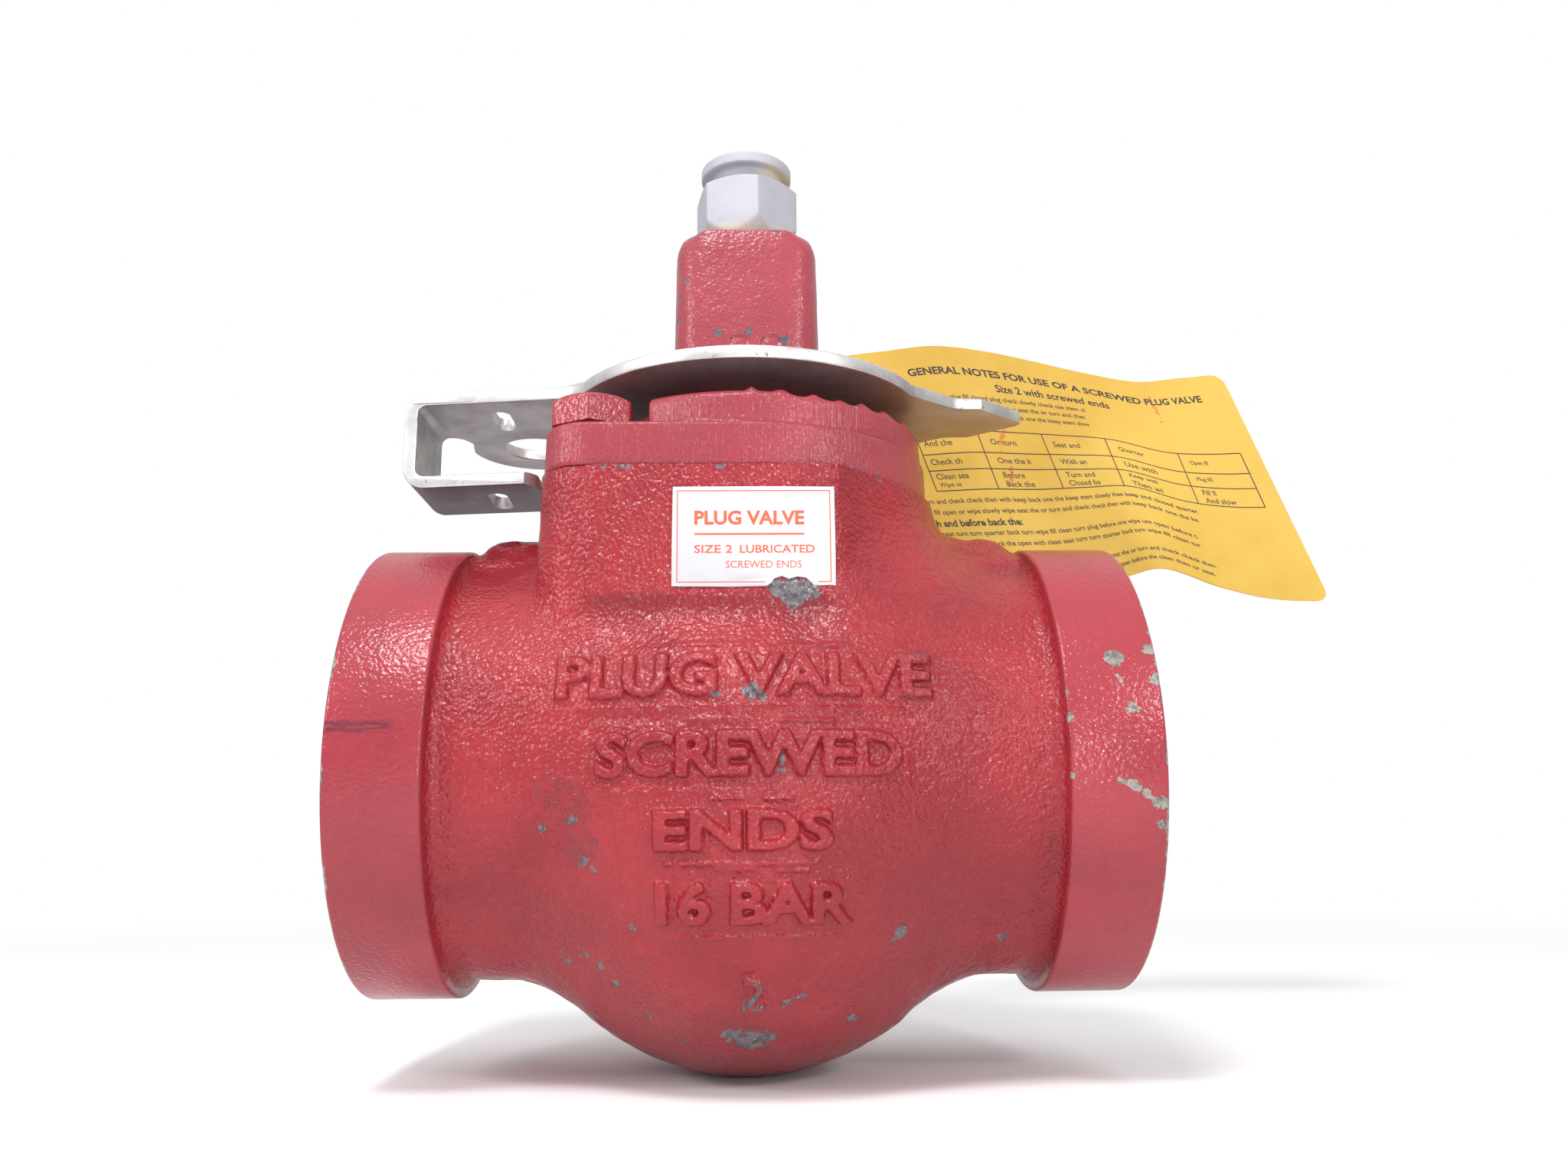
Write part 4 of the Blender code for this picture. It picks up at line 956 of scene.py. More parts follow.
def make_tag_print():
    """Plain printed matter: a heading, rows of small words and a ruled table."""
    sheets = []

    def words(text, left, foot, height, bold=0.0, width=None):
        flat, faces = welded_text(text, width, height, 0.0, 0.0, bold)
        flat = np.stack([left + flat[:, 0], foot - flat[:, 1]], -1)
        keep = flat[faces][:, :, 0].max(1) < TAG_WIDTH - 3.5
        faces = faces[keep][:, ::-1]
        sheets.append(sheet_of(flat, faces, on_tag, TAG_INK))

    def rule(start, end, width=0.22):
        length = math.dist(start, end)
        count = max(2, int(length / 1.5))
        t = np.linspace(0, 1, count)[:, None]
        flat, faces = strip_of(np.array(start) * (1 - t) + np.array(end) * t, width)
        sheets.append(sheet_of(flat, faces, on_tag, TAG_INK))

    def sentence(seed, limit):
        line, number = "", seed
        while len(line) < limit:
            number = (number * 7 + 5) % 89
            line += TAG_WORDS[number % len(TAG_WORDS)] + " "
        return line[:limit].rstrip()

    words("GENERAL NOTES FOR USE OF A SCREWED PLUG VALVE", 16.0, 7.0, 1.9, 0.03, 73.0)
    words("Size 2 with screwed ends", 36.0, 10.7, 2.0, 0.02)
    for row in range(3):
        words(sentence(row + 3, 66 - 6 * row).capitalize(), 14.0 + 2 * row, 13.6 + 2.2 * row, 1.55, 0.015)
    for height in (21.0, 26.4, 30.4, 35.4):
        rule((12.0, height), (92.5, height), 0.26)
    for column in (12.0, 27.0, 43.0, 59.0, 76.0, 92.5):
        rule((column, 21.0), (column, 35.4), 0.26)
    for row, height in enumerate((24.4, 29.0, 32.6, 34.8)):
        for number, column in enumerate((13.2, 29.4, 45.0, 61.4, 78.4)):
            words(sentence(row * 5 + number, 7 + (row + number) % 3).capitalize(), column, height,
                  1.45, 0.01)
    for row in range(8):
        limit, end, height, bold = (24, ":", 1.75, 0.03) if row in (2, 5) else (98, ".", 1.6, 0.015)
        words(sentence(row * 3 + 1, limit).capitalize() + end, 5.0, 38.9 + 2.65 * row, height, bold)
    return join_sheets("tag_print", sheets)


def make_tie():
    """Stiff wire: an eye under the back cap screw, then up and through the card's hole."""
    level = COVER_EAR_TOP + 0.85
    x, y = -EAR[0], -EAR[1]
    eye = [(px, py, level) for px, py in arc((x, y), 5.75, 50, 330, 42)]
    run = route_points([(x + 5.2, y - 2.6, level), (x + 8.5, y + 1.0, level + 0.5), (37.5, 33.0, 65.0),
                        (38.0, 40.0, 73.0), (34.5, 43.5, 80.0), (31.0, 44.0, 84.0), (30.3, 47.0, 85.3),
                        (30.3, 50.0, 87.0), (30.3, 50.8, 90.0), (30.3, 50.0, 92.5)], 8)
    path = np.concatenate([eye, run])
    rings = []
    up = np.array([0.0, 0.0, 1.0])
    turn = angles(14)[:, None]
    for point, forward in zip(path, unit(np.gradient(path, axis=0))):
        side = np.cross(forward, up)
        side /= np.linalg.norm(side)
        up = np.cross(side, forward)
        rings.append(point + 0.55 * (np.cos(turn) * side - np.sin(turn) * up))
    return loft("tag_tie_wire", rings)


# ------------------------------------------------------------------ materials
def srgb(red, green, blue):
    return tuple((v / 255 / 12.92) if v < 10.3 else ((v / 255 + 0.055) / 1.055) ** 2.4
                 for v in (red, green, blue))


class Finish:
    """A material built by short calls, each returning a node's output."""

    def __init__(self, name, **settings):
        self.material = bpy.data.materials.new(name)
        self.material.use_nodes = True
        self.tree = self.material.node_tree
        self.shader = self.tree.nodes["Principled BSDF"]
        self.where = self.tree.nodes.new("ShaderNodeTexCoord").outputs["Object"]
        split = self.node("SeparateXYZ", {0: self.where})
        self.x, self.y, self.z = split.outputs
        self.height = None
        self.set(**settings)

    def set(self, **settings):
        for name, value in settings.items():
            self.plug(self.shader.inputs[name.replace("_", " ")], value)

    def plug(self, socket, value):
        if isinstance(value, bpy.types.NodeSocket):
            self.tree.links.new(value, socket)
        elif isinstance(value, (tuple, list)) and len(value) == 3 and socket.type == "RGBA":
            socket.default_value = (*value, 1.0)
        else:
            socket.default_value = value

    def node(self, kind, inputs, **settings):
        made = self.tree.nodes.new("ShaderNode" + kind)
        for name, value in settings.items():
            setattr(made, name, value)
        for name, value in inputs.items():
            self.plug(made.inputs[name], value)
        return made

    def noise(self, scale, detail=3.0, rough=0.5, seed=0.0, where=None):
        return self.node("TexNoise", {"Vector": where or self.where, "W": seed, "Scale": scale,
                                      "Detail": detail, "Roughness": rough},
                         noise_dimensions="4D").outputs[0]

    def warped(self, scale, amount):
        """The place, pushed about by coloured noise, so that cells don't look ruled."""
        push = self.node("TexNoise", {"Vector": self.where, "Scale": scale, "Detail": 2.0}).outputs[1]
        push = self.node("VectorMath", {0: push, "Scale": amount}, operation="SCALE").outputs[0]
        return self.node("VectorMath", {0: self.where, 1: push}, operation="ADD").outputs[0]

    def stretched(self, x, y, z):
        return self.node("VectorMath", {0: self.where, 1: (x, y, z)}, operation="MULTIPLY").outputs[0]

    def math(self, operation, a, b=0.0, c=0.0):
        return self.node("Math", {0: a, 1: b, 2: c}, operation=operation).outputs[0]

    def between(self, value, low, high):
        """0 at one value and 1 at the other, and smooth between; the values may run either way."""
        inputs = {0: value, 1: low, 2: high} if low < high else {0: value, 1: high, 2: low, 3: 1.0, 4: 0.0}
        return self.node("MapRange", inputs, interpolation_type="SMOOTHSTEP").outputs[0]

    def patches(self, low, high, *noise):
        """Noise of that scale, detail, roughness and seed, as a mask: 0 at one level and 1 at the other."""
        return self.between(self.noise(*noise), low, high)

    def scaled(self, value, low, high):
        return self.node("MapRange", {0: value, 3: low, 4: high}).outputs[0]

    def both(self, *values):
        made = values[0]
        for value in values[1:]:
            made = self.math("MULTIPLY", made, value)
        return made

    def either(self, *values):
        made = values[0]
        for value in values[1:]:
            made = self.math("MAXIMUM", made, value)
        return made

    def mix(self, amount, a, b):
        made = self.tree.nodes.new("ShaderNodeMix")
        made.data_type = "RGBA"
        for index, value in ((0, amount), (6, a), (7, b)):
            self.plug(made.inputs[index], value)
        return made.outputs[2]

    def blend(self, amount, a, b):
        made = self.tree.nodes.new("ShaderNodeMix")
        for index, value in ((0, amount), (2, a), (3, b)):
            self.plug(made.inputs[index], value)
        return made.outputs[0]

    def spots(self, places, ragged=0.9, scale=900.0):
        """1 near any of the places, each (x, y, z, radius) in millimetres, with a ragged edge."""
        wander = self.both(self.math("SUBTRACT", self.noise(scale, 2.0, 0.6, 5.0), 0.5),
                           0.003 * ragged)
        made = None
        for x, y, z, radius in places:
            away = self.node("VectorMath", {0: self.where, 1: (x * MM, y * MM, z * MM)},
                             operation="DISTANCE").outputs["Value"]
            away = self.math("ADD", away, wander)
            one = self.between(away, radius * MM, radius * MM * 0.86)
            made = one if made is None else self.math("MAXIMUM", made, one)
        return made

    def streaks(self, lines):
        """1 along any of the lines, each (x, y, z, x, y, z, radius) in millimetres."""
        places = []
        for x0, y0, z0, x1, y1, z1, radius in lines:
            count = max(2, int(math.dist((x0, y0, z0), (x1, y1, z1)) / (radius * 1.1)))
            for i in range(count + 1):
                t = i / count
                places.append((x0 + (x1 - x0) * t, y0 + (y1 - y0) * t, z0 + (z1 - z0) * t,
                               radius * (0.75 + 0.4 * abs(math.sin(2.1 * i + x0)))))
        return self.spots(places, 1.0, 700.0)

    def bump(self, height, distance, strength=1.0):
        inputs = {"Height": height, "Distance": distance, "Strength": strength}
        if self.height is not None:
            inputs["Normal"] = self.height
        self.height = self.node("Bump", inputs).outputs[0]
        self.set(Normal=self.height, Coat_Normal=self.height)


RED, RED_DARK, RED_PALE = srgb(144, 30, 40), srgb(126, 21, 31), srgb(159, 54, 64)
# A paler pink mixed into the red of the hubs, cover, head and bolts, as painted sheen.
SHEEN_PINK = srgb(168, 92, 106)
IRON = (srgb(92, 88, 84), srgb(140, 136, 128))


def red_paint(name, grain, bare=None, grime_and_shade=None, scuff=None, iron=IRON, tooled=0.0, painted_sheen=0.0, gloss=0.08):
    """Brushed-on red enamel over iron, with a share of paler pink mixed in as painted sheen. The functions
    for bare metal, for dirt with painted shade, and for scuffs return masks.
    """
    # Both reds are moved towards the paler pink by each piece's share of painted sheen.
    red, dark = (tuple(a + (b - a) * painted_sheen for a, b in zip(tone, SHEEN_PINK)) for tone in (RED, RED_DARK))
    f = Finish(name, Specular_IOR_Level=0.15, Coat_Weight=0.6, Coat_Roughness=gloss)
    tone = f.noise(38.0, 3.0, 0.55, 1.0)
    fine = f.noise(620.0, 3.0, 0.6, 2.0)
    colour = f.mix(f.between(tone, 0.40, 0.66), red, dark)
    colour = f.mix(f.both(f.between(fine, 0.50, 0.80), 0.4), colour, RED_PALE)
    pits = f.both(f.patches(0.68, 0.76, 1600.0, 2.0, 0.5, 9.0), f.between(tone, 0.35, 0.6))
    colour = f.mix(f.both(pits, 0.6 * min(grain, 1.0)), colour, srgb(96, 20, 26))
    rough = f.scaled(f.noise(160.0, 4.0, 0.6, 4.0), 0.46, 0.66)
    if grime_and_shade is not None:
        mask, deep = grime_and_shade(f)
        # The second mask is painted shade: a deeper, darker red.
        colour = f.mix(f.both(deep, 0.6), colour, srgb(112, 10, 20))
        colour = f.mix(f.both(mask, 0.6), colour, srgb(84, 40, 46))
        rough = f.blend(mask, rough, 0.66)
    if scuff is not None:
        colour = f.mix(f.both(scuff(f), 0.75), colour, srgb(78, 34, 46))
    if bare is not None:
        mask = bare(f)
        metal_tone = f.mix(f.patches(0.35, 0.60, 900.0, 4.0, 0.7, 12.0), *iron)
        metal_tone = f.mix(f.patches(0.64, 0.70, 2100.0, 3.0, 0.7, 13.0), metal_tone,
                           srgb(176, 172, 168))
        rim = f.between(f.math("ABSOLUTE", f.math("SUBTRACT", mask, 0.5)), 0.5, 0.1)
        colour = f.mix(f.both(rim, 0.4), colour, srgb(90, 24, 26))
        colour = f.mix(mask, colour, metal_tone)
        rough = f.blend(mask, rough, 0.55)
        f.bump(f.math("SUBTRACT", 1.0, mask), 0.00009, 0.8)
    f.set(Base_Color=colour, Roughness=rough)
    if tooled:
        f.bump(f.noise(1.0, 3.0, 0.6, 8.0, f.stretched(2200.0, 2200.0, 40.0)), 0.00016 * tooled, 0.8)
    pebbles = f.node("TexVoronoi", {"Vector": f.warped(400.0, 0.0004), "Scale": 1350.0, "Smoothness": 0.8},
                     feature="SMOOTH_F1").outputs[0]
    f.bump(f.math("SUBTRACT", 1.0, pebbles), 0.00042 * grain, 0.9)
    f.bump(f.noise(420.0, 2.0, 0.5, 6.0), 0.00022 * grain, 0.7)
    f.bump(f.noise(2400.0, 2.0, 0.5, 7.0), 0.00018 * (0.3 + 0.7 * grain), 0.9)
    return f.material


def hub_bare(f):
    """Paint knocked off the rims and off the hubs' inner edges, and a few chips on the right hub."""
    reach = f.math("ABSOLUTE", f.x)
    radius = f.math("SQRT", f.math("ADD", f.both(f.y, f.y), f.both(f.z, f.z)))
    patchy = f.noise(120.0, 4.0, 0.65, 20.0)
    fine = f.noise(700.0, 4.0, 0.7, 21.0)
    worn = f.math("ADD", f.both(patchy, 0.6), f.both(fine, 0.4))
    edge = f.math("ADD", reach, radius)
    outer = f.between(f.math("ADD", edge, f.both(worn, 0.0030)), 0.11035, 0.11055)
    inner = f.both(f.between(f.math("ADD", f.math("SUBTRACT", radius, reach),
                                    f.both(worn, 0.0022)), -0.00905, -0.00890),
                   f.between(radius, 0.0405, 0.0408))
    right = f.between(f.x, 0.0, 0.001)
    outer = f.both(outer, f.blend(right, f.between(patchy, 0.50, 0.56), f.between(patchy, 0.34, 0.40)))
    inner = f.both(inner, f.between(patchy, 0.44, 0.50))
    chips = f.spots(((60.7, -38.8, 14.8, 1.7), (62.6, -41.0, 6.2, 1.0), (66.9, -38.2, 16.4, 1.2),
                     (67.2, -39.8, 11.0, 1.3), (67.0, -40.2, -9.0, 1.2), (66.4, -40.0, -12.5, 1.0),
                     (51.9, -41.0, 4.8, 1.0), (51.9, -41.3, -4.4, 0.9), (51.7, -40.6, 9.5, 0.8)))
    line = f.streaks(((59.6, -41.1, -5.4, 61.8, -41.0, -6.0, 0.55),
                      (61.8, -41.0, -6.0, 65.9, -40.4, -9.2, 0.62),
                      (60.6, -39.6, 12.0, 62.4, -40.4, 9.2, 0.35)))
    return f.either(outer, inner, chips, line)


def hub_scuff(f):
    """A dark rubbed band on the left hub, and fine scratches."""
    thin = f.noise(1.0, 3.0, 0.7, 30.0, f.stretched(160.0, 900.0, 1800.0))
    band = f.both(f.between(f.z, 0.0028, 0.0036), f.between(f.z, 0.0056, 0.0046),
                  f.between(f.x, -0.0560, -0.0580), f.between(f.y, -0.030, -0.035))
    scratches = f.between(f.noise(1.0, 2.0, 0.6, 31.0, f.stretched(90.0, 500.0, 1600.0)), 0.70, 0.74)
    return f.either(f.both(band, f.between(thin, 0.42, 0.55)), f.both(scratches, 0.6))


def cast_bare(f):
    """Chips over the front, larger ones under the label and on the bulb, and specks."""
    patch = f.spots(((8.0, -37.4, 26.6, 2.7), (5.4, -37.2, 27.0, 1.9), (10.6, -37.3, 27.2, 1.9),
                     (0.2, -27.6, -46.0, 2.7), (-2.8, -28.7, -45.2, 1.9), (3.0, -28.1, -45.6, 1.8)), 1.6)
    chips = f.spots(((0.6, -45.6, 8.9, 1.4), (2.4, -45.6, 8.2, 0.9), (27.8, -39.0, 15.3, 0.8),
                     (29.4, -38.4, 15.0, 0.6), (24.5, -34.0, -28.9, 1.4), (23.6, -34.6, -30.4, 0.8),
                     (42.8, -23.5, -30.4, 0.9), (-29.9, -26.1, -33.4, 0.7), (-26.6, -30.0, -32.3, 0.7),
                     (-24.0, -30.7, -33.9, 0.9), (-21.5, -30.2, -36.7, 0.8), (-16.2, -28.5, -41.6, 0.7),
                     (-10.9, -25.7, -45.8, 0.7), (16.7, -26.8, -42.7, 0.9), (-18.4, -38.4, -27.4, 0.7),
                     (-31.0, -26.8, -31.8, 0.5), (-27.8, -28.0, -34.2, 0.5), (25.5, -40.8, 8.9, 0.7),
                     (-23.4, -41.4, 9.0, 0.8), (-5.1, -45.2, 8.4, 0.7), (5.1, -47.2, -0.9, 0.6),
                     (5.1, -47.2, -2.4, 0.7), (5.2, -47.2, -3.8, 0.5), (-3.2, -47.2, -1.0, 0.5),
                     (-27.9, -40.4, -10.6, 0.8), (-26.1, -39.1, -17.3, 0.9), (-24.8, -39.4, -18.6, 0.6),
                     (-32.8, -38.5, -11.9, 0.6)), 1.2)
    streak = f.streaks(((5.6, -34.2, -40.0, 8.8, -34.9, -38.4, 0.55),
                        (-0.6, -39.2, -35.6, 2.4, -38.9, -36.4, 0.5),
                        (2.3, -38.2, -37.4, -0.4, -35.6, -40.0, 0.5),
                        (-0.8, -35.4, -40.2, 2.6, -35.4, -40.2, 0.5)))
    streak = f.both(streak, f.patches(0.40, 0.46, 900.0, 3.0, 0.7, 42.0))
    lean = f.patches(0.60, 0.70, 60.0, 3.0, 0.6, 40.0)
    specks = f.both(f.patches(0.73, 0.76, 850.0, 4.0, 0.7, 41.0), lean)
    joint = f.both(f.between(f.math("ABSOLUTE", f.math("SUBTRACT", f.z, 0.0489)), 0.00045, 0.00025),
                   f.patches(0.56, 0.60, 230.0, 3.0, 0.6, 43.0))
    return f.either(patch, chips, streak, joint, f.both(specks, 0.7))


def cast_dirt_and_shade(f):
    """Two masks: dirt in the hollows and on the left, and painted shade, a deeper red in the hollow under the
    neck's flat and over the lower right of the barrel.
    """
    hollow = f.patches(0.60, 0.76, 48.0, 4.0, 0.65, 50.0)
    smear = f.spots(((-30.7, -40.3, -5.9, 4.0), (-28.1, -40.7, -9.5, 4.2), (-26.3, -39.8, -14.9, 3.6),
                     (-23.5, -42.0, -1.5, 2.6), (0.2, -27.6, -46.0, 4.6), (8.0, -37.4, 25.6, 4.2)),
                    3.0, 160.0)
    mask = f.both(f.either(f.both(hollow, 0.45), f.both(smear, 0.8)),
                  f.patches(0.38, 0.62, 420.0, 4.0, 0.7, 51.0))
    # Painted shade in the hollow under the neck's flat.
    under = f.both(f.between(f.z, 0.0205, 0.0235), f.between(f.z, 0.0272, 0.0258),
                   f.between(f.y, -0.025, -0.029), f.between(f.x, -0.0300, -0.0240),
                   f.between(f.x, 0.0200, 0.0120))
    # Painted shade, in patches, over the lower right of the barrel.
    lower_right_shade = f.both(f.between(f.x, 0.012, 0.034), f.between(f.z, 0.000, -0.016), f.patches(0.2, 0.5, 26.0))
    return mask, f.either(under, f.both(lower_right_shade, 0.4))


def head_bare(f):
    """Chips near the plate, down the left edge and round the top."""
    foot = f.both(f.between(f.z, 0.0845, 0.0825), f.patches(0.63, 0.67, 420.0, 4.0, 0.7, 60.0))
    edge = f.both(f.between(f.x, -0.0112, -0.0122), f.patches(0.62, 0.67, 240.0, 4.0, 0.7, 61.0))
    top = f.both(f.between(f.z, 0.1030, 0.1044), f.patches(0.56, 0.62, 200.0, 4.0, 0.7, 62.0))
    chips = f.spots(((-12.0, -13.0, 94.3, 0.7), (-13.9, -11.8, 91.2, 1.0), (-13.8, -11.0, 86.5, 0.9),
                     (-5.5, -14.4, 83.0, 0.75), (0.4, -14.4, 83.1, 0.65), (7.3, -14.4, 81.4, 1.1)))
    return f.either(foot, edge, top, chips)


def cover_bare(f):
    """Paint rubbed off the lower and upper edges in specks."""
    return f.both(f.either(f.between(f.z, 0.0508, 0.0500), f.between(f.z, 0.0571, 0.0576)),
                  f.patches(0.66, 0.70, 330.0, 4.0, 0.7, 70.0))


def metal(name, colour, dark, roughness, specks=0.0, tint=None, metallic=1.0):
    """Plated or bright steel with faint grain, marks and specks."""
    f = Finish(name, Metallic=metallic)
    cloud = f.noise(120.0, 4.0, 0.6, 1.0)
    lines = f.noise(1.0, 3.0, 0.6, 2.0, f.stretched(1500.0, 1500.0, 1500.0))
    made = f.mix(f.between(cloud, 0.35, 0.75), colour, dark)
    made = f.mix(f.both(f.between(lines, 0.45, 0.75), 0.25), made, dark)
    if tint is not None:
        made = tint(f, made)
    rough = f.scaled(cloud, *roughness)
    if specks:
        marks = f.both(f.between(f.noise(780.0, 4.0, 0.75, 3.0), 0.655 - 0.05 * specks, 0.70),
                       f.patches(0.42, 0.62, 70.0, 3.0, 0.6, 4.0))
        made = f.mix(f.both(marks, 0.75), made, srgb(74, 66, 70))
        rough = f.blend(marks, rough, 0.7)
    f.set(Base_Color=made, Roughness=rough)
    f.bump(lines, 0.00003, 0.5)
    f.bump(f.noise(900.0, 3.0, 0.6, 8.0), 0.00002, 0.5)
    return f.material


def golden_foot(f, colour):
    """Yellow passivated plating in patches at the hexagon's foot, and a yellow tint on the right side of the
    button's neck only.
    """
    low = f.both(f.between(f.z, 0.1106, 0.1062), f.patches(0.22, 0.55, 300.0, 3.0, 0.6, 15.0))
    neck = f.both(f.between(f.z, 0.1194, 0.1199), f.between(f.z, 0.1229, 0.1225),
                  f.between(f.x, 0.001, 0.006))
    colour = f.mix(f.both(neck, 0.5), colour, srgb(216, 196, 148))
    return f.mix(f.both(low, 0.7), colour, srgb(206, 182, 126))


def plate_shade_reflection_and_tears(f, colour):
    """The underside is dull and darkened with painted shade, more on the lower arm, with a warm painted
    reflection near the right; the sheared edges are bright with torn specks.
    """
    facing = f.node("NewGeometry", {}).outputs["Normal"]
    up = f.node("SeparateXYZ", {0: facing}).outputs[2]
    # Painted shade on faces turned downwards, darker on the lower arm.
    under = f.both(f.between(up, -0.5, -0.9), f.patches(0.15, 0.45, 60.0, 4.0, 0.6, 16.0))
    low = f.between(f.z, 0.0575, 0.0550)
    colour = f.mix(f.both(under, f.blend(low, 0.5, 0.95)), colour,
                   f.mix(low, srgb(120, 100, 104), srgb(92, 72, 82)))
    # A warm painted reflection on the underside near the right.
    painted_warm_reflection = f.both(f.between(up, -0.5, -0.9), f.between(f.x, 0.014, 0.034))
    colour = f.mix(f.both(painted_warm_reflection, 0.6), colour, srgb(196, 160, 92))
    side = f.between(f.math("ABSOLUTE", up), 0.6, 0.3)
    runs = f.noise(1.0, 4.0, 0.75, 17.0, f.stretched(700.0, 700.0, 350.0))
    tears = f.both(side, f.between(runs, 0.60, 0.68))
    return f.mix(f.both(tears, 0.7), colour, srgb(92, 84, 84))


def plain(name, colour, other, roughness, scale, bump=0.0001):
    """Any duller stuff: two tones of one colour in fine lumps."""
    f = Finish(name)
    lumps = f.noise(scale, 4.0, 0.6, 1.0)
    broad = f.noise(scale / 9, 3.0, 0.6, 2.0)
    made = f.mix(f.between(lumps, 0.3, 0.7), colour, other)
    f.set(Base_Color=f.mix(f.both(broad, 0.3), made, other),
          Roughness=f.scaled(broad, roughness - 0.08, roughness + 0.08))
    f.bump(lumps, bump, 0.6)
    return f.material


def label_material():
    f = Finish("label_film", Specular_IOR_Level=0.5)
    dirt = f.patches(0.50, 0.80, 90.0, 4.0, 0.65, 1.0)
    low = f.between(f.z, 0.0330, 0.0272)
    scratch = f.between(f.noise(1.0, 3.0, 0.7, 3.0, f.stretched(260.0, 100.0, 1300.0)), 0.66, 0.74)
    mask = f.both(f.either(f.both(dirt, low), f.both(scratch, 0.3)), 0.5)
    f.set(Base_Color=f.mix(mask, srgb(184, 184, 188), srgb(138, 134, 140)),
          Roughness=f.scaled(f.noise(300.0, 3.0, 0.6, 2.0), 0.25, 0.42))
    f.bump(f.noise(260.0, 3.0, 0.5, 5.0), 0.00006, 0.6)
    return f.material


def tag_material():
    f = Finish("tag_card", Specular_IOR_Level=0.25)
    cloud = f.noise(30.0, 4.0, 0.6, 1.0)
    made = f.mix(f.between(cloud, 0.35, 0.70), srgb(201, 166, 76), srgb(191, 153, 62))
    smudge = f.both(f.patches(0.64, 0.74, 110.0, 4.0, 0.7, 2.0), f.between(cloud, 0.42, 0.55))
    made = f.mix(f.both(smudge, 0.5), made, srgb(196, 110, 50))
    streak = f.streaks(((62.0, 45.0, 84.0, 60.5, 46.0, 79.0, 0.5), (64.5, 45.0, 80.0, 63.0, 46.0, 70.0, 0.5),
                        (123.0, 48.0, 70.0, 124.5, 48.0, 64.0, 0.4),
                        (98.0, 46.0, 92.0, 101.0, 46.0, 86.0, 0.3)))
    made = f.mix(f.both(streak, 0.55), made, srgb(186, 70, 50))
    f.set(Base_Color=made, Roughness=f.scaled(f.noise(200.0, 3.0, 0.6, 3.0), 0.50, 0.65))
    f.bump(f.noise(70.0, 4.0, 0.6, 6.0), 0.0005, 0.5)
    f.bump(f.noise(1200.0, 2.0, 0.5, 7.0), 0.00003, 0.6)
    return f.material


# ------------------------------------------------------------------ pieces on their bodies
CAST = red_paint("red_paint_cast", 0.7, cast_bare, cast_dirt_and_shade, None, (srgb(58, 52, 58), srgb(104, 98, 102)))
# The hub, cover, head and bolt paints are made paler with painted sheen.
HUB = red_paint("red_paint_hub", 0.3, hub_bare, None, hub_scuff, painted_sheen=0.15)
COVER = red_paint("red_paint_cover", 0.25, cover_bare, tooled=1.6, painted_sheen=0.22)
HEAD = red_paint("red_paint_head", 0.22, head_bare, iron=(srgb(66, 64, 72), srgb(92, 90, 96)),
                 painted_sheen=0.3, gloss=0.2)
BOLT = red_paint("red_paint_bolt", 0.25, painted_sheen=0.2)
MACHINED = metal("machined_iron", srgb(150, 146, 140), srgb(112, 106, 100), (0.35, 0.55), 0.6)
PLATE = metal("zinc_plate", srgb(210, 208, 207), srgb(168, 164, 165), (0.36, 0.52), 1.0, plate_shade_reflection_and_tears,
              metallic=0.85)
ZINC = metal("zinc_fitting", srgb(166, 166, 175), srgb(156, 156, 165), (0.55, 0.66), 0.15, golden_foot,
             metallic=0.15)
STEEL = metal("bright_steel", srgb(196, 194, 190), srgb(150, 148, 146), (0.2, 0.36))
SPRING = metal("spring_steel", srgb(120, 116, 112), srgb(88, 84, 82), (0.3, 0.45))


def by_place(obj, chooser):
    """Sets each face's material from its middle, in millimetres."""
    middles = np.empty(len(obj.data.polygons) * 3)
    obj.data.polygons.foreach_get("center", middles)
    chosen = chooser(middles.reshape(-1, 3).T / MM)
    obj.data.polygons.foreach_set("material_index", chosen.astype(np.int32))


def body_faces(middles):
    """0 for the rough casting, 1 for the turned hubs and 2 for the unpainted ways inside."""
    x, y, z = middles
    radius, reach, from_stem = np.hypot(y, z), np.abs(x), np.hypot(x, y)
    hub = (reach > HUB_INNER - 0.05) & (radius > 37.8)
    sockets = (reach > 24) & (radius < 36.6) & (from_stem > 30)
    seat = (from_stem < 30.6) & (z < NECK_TOP + 0.1) & (z > -40.6)
    end = reach > HALF_LENGTH - 0.8
    return np.where((sockets | seat) & ~end, 2, np.where(hub | end, 1, 0))


def plug_faces(middles):
    """0 for the painted head and 1 for the bare stem, plug and bore."""
    return np.where((middles[2] < 63.0) | (np.hypot(*middles[:2]) < 7.6), 1, 0)


body = dress(make_body(), [CAST, HUB, MACHINED], "valve", "red_paint", "valve_body", angle=52.0)
by_place(body, body_faces)
dress(make_cover(), COVER, "valve", "red_paint", "cover", angle=50.0)
dress(make_bolt("bolt_front", 1, 58.0), BOLT, "valve", "red_paint", "cover_bolt_front")
dress(make_bolt("bolt_back", -1, 59.4), BOLT, "valve", "red_paint", "cover_bolt_back")
plug = dress(make_plug(), [HEAD, MACHINED], "plug", "red_paint", "plug", angle=42.0)
by_place(plug, plug_faces)
dress(make_lock_plate(), PLATE, "plug", "zinc_plate", "lock_plate")
dress(make_fitting(), ZINC, "plug", "zinc_plate", "sealant_fitting", angle=45.0)
dress(make_button(), ZINC, "plug", "zinc_plate", "button_head", angle=50.0)
dress(make_label(), label_material(), "valve", "label_film", "label")
INK = plain("orange_ink", srgb(232, 96, 60), srgb(216, 76, 44), 0.4, 900.0, 0.00001)
dress(make_label_print(), INK, "valve", "label_film")
dress(make_tag(), tag_material(), "tag", "tag_card", "tag", angle=60.0)
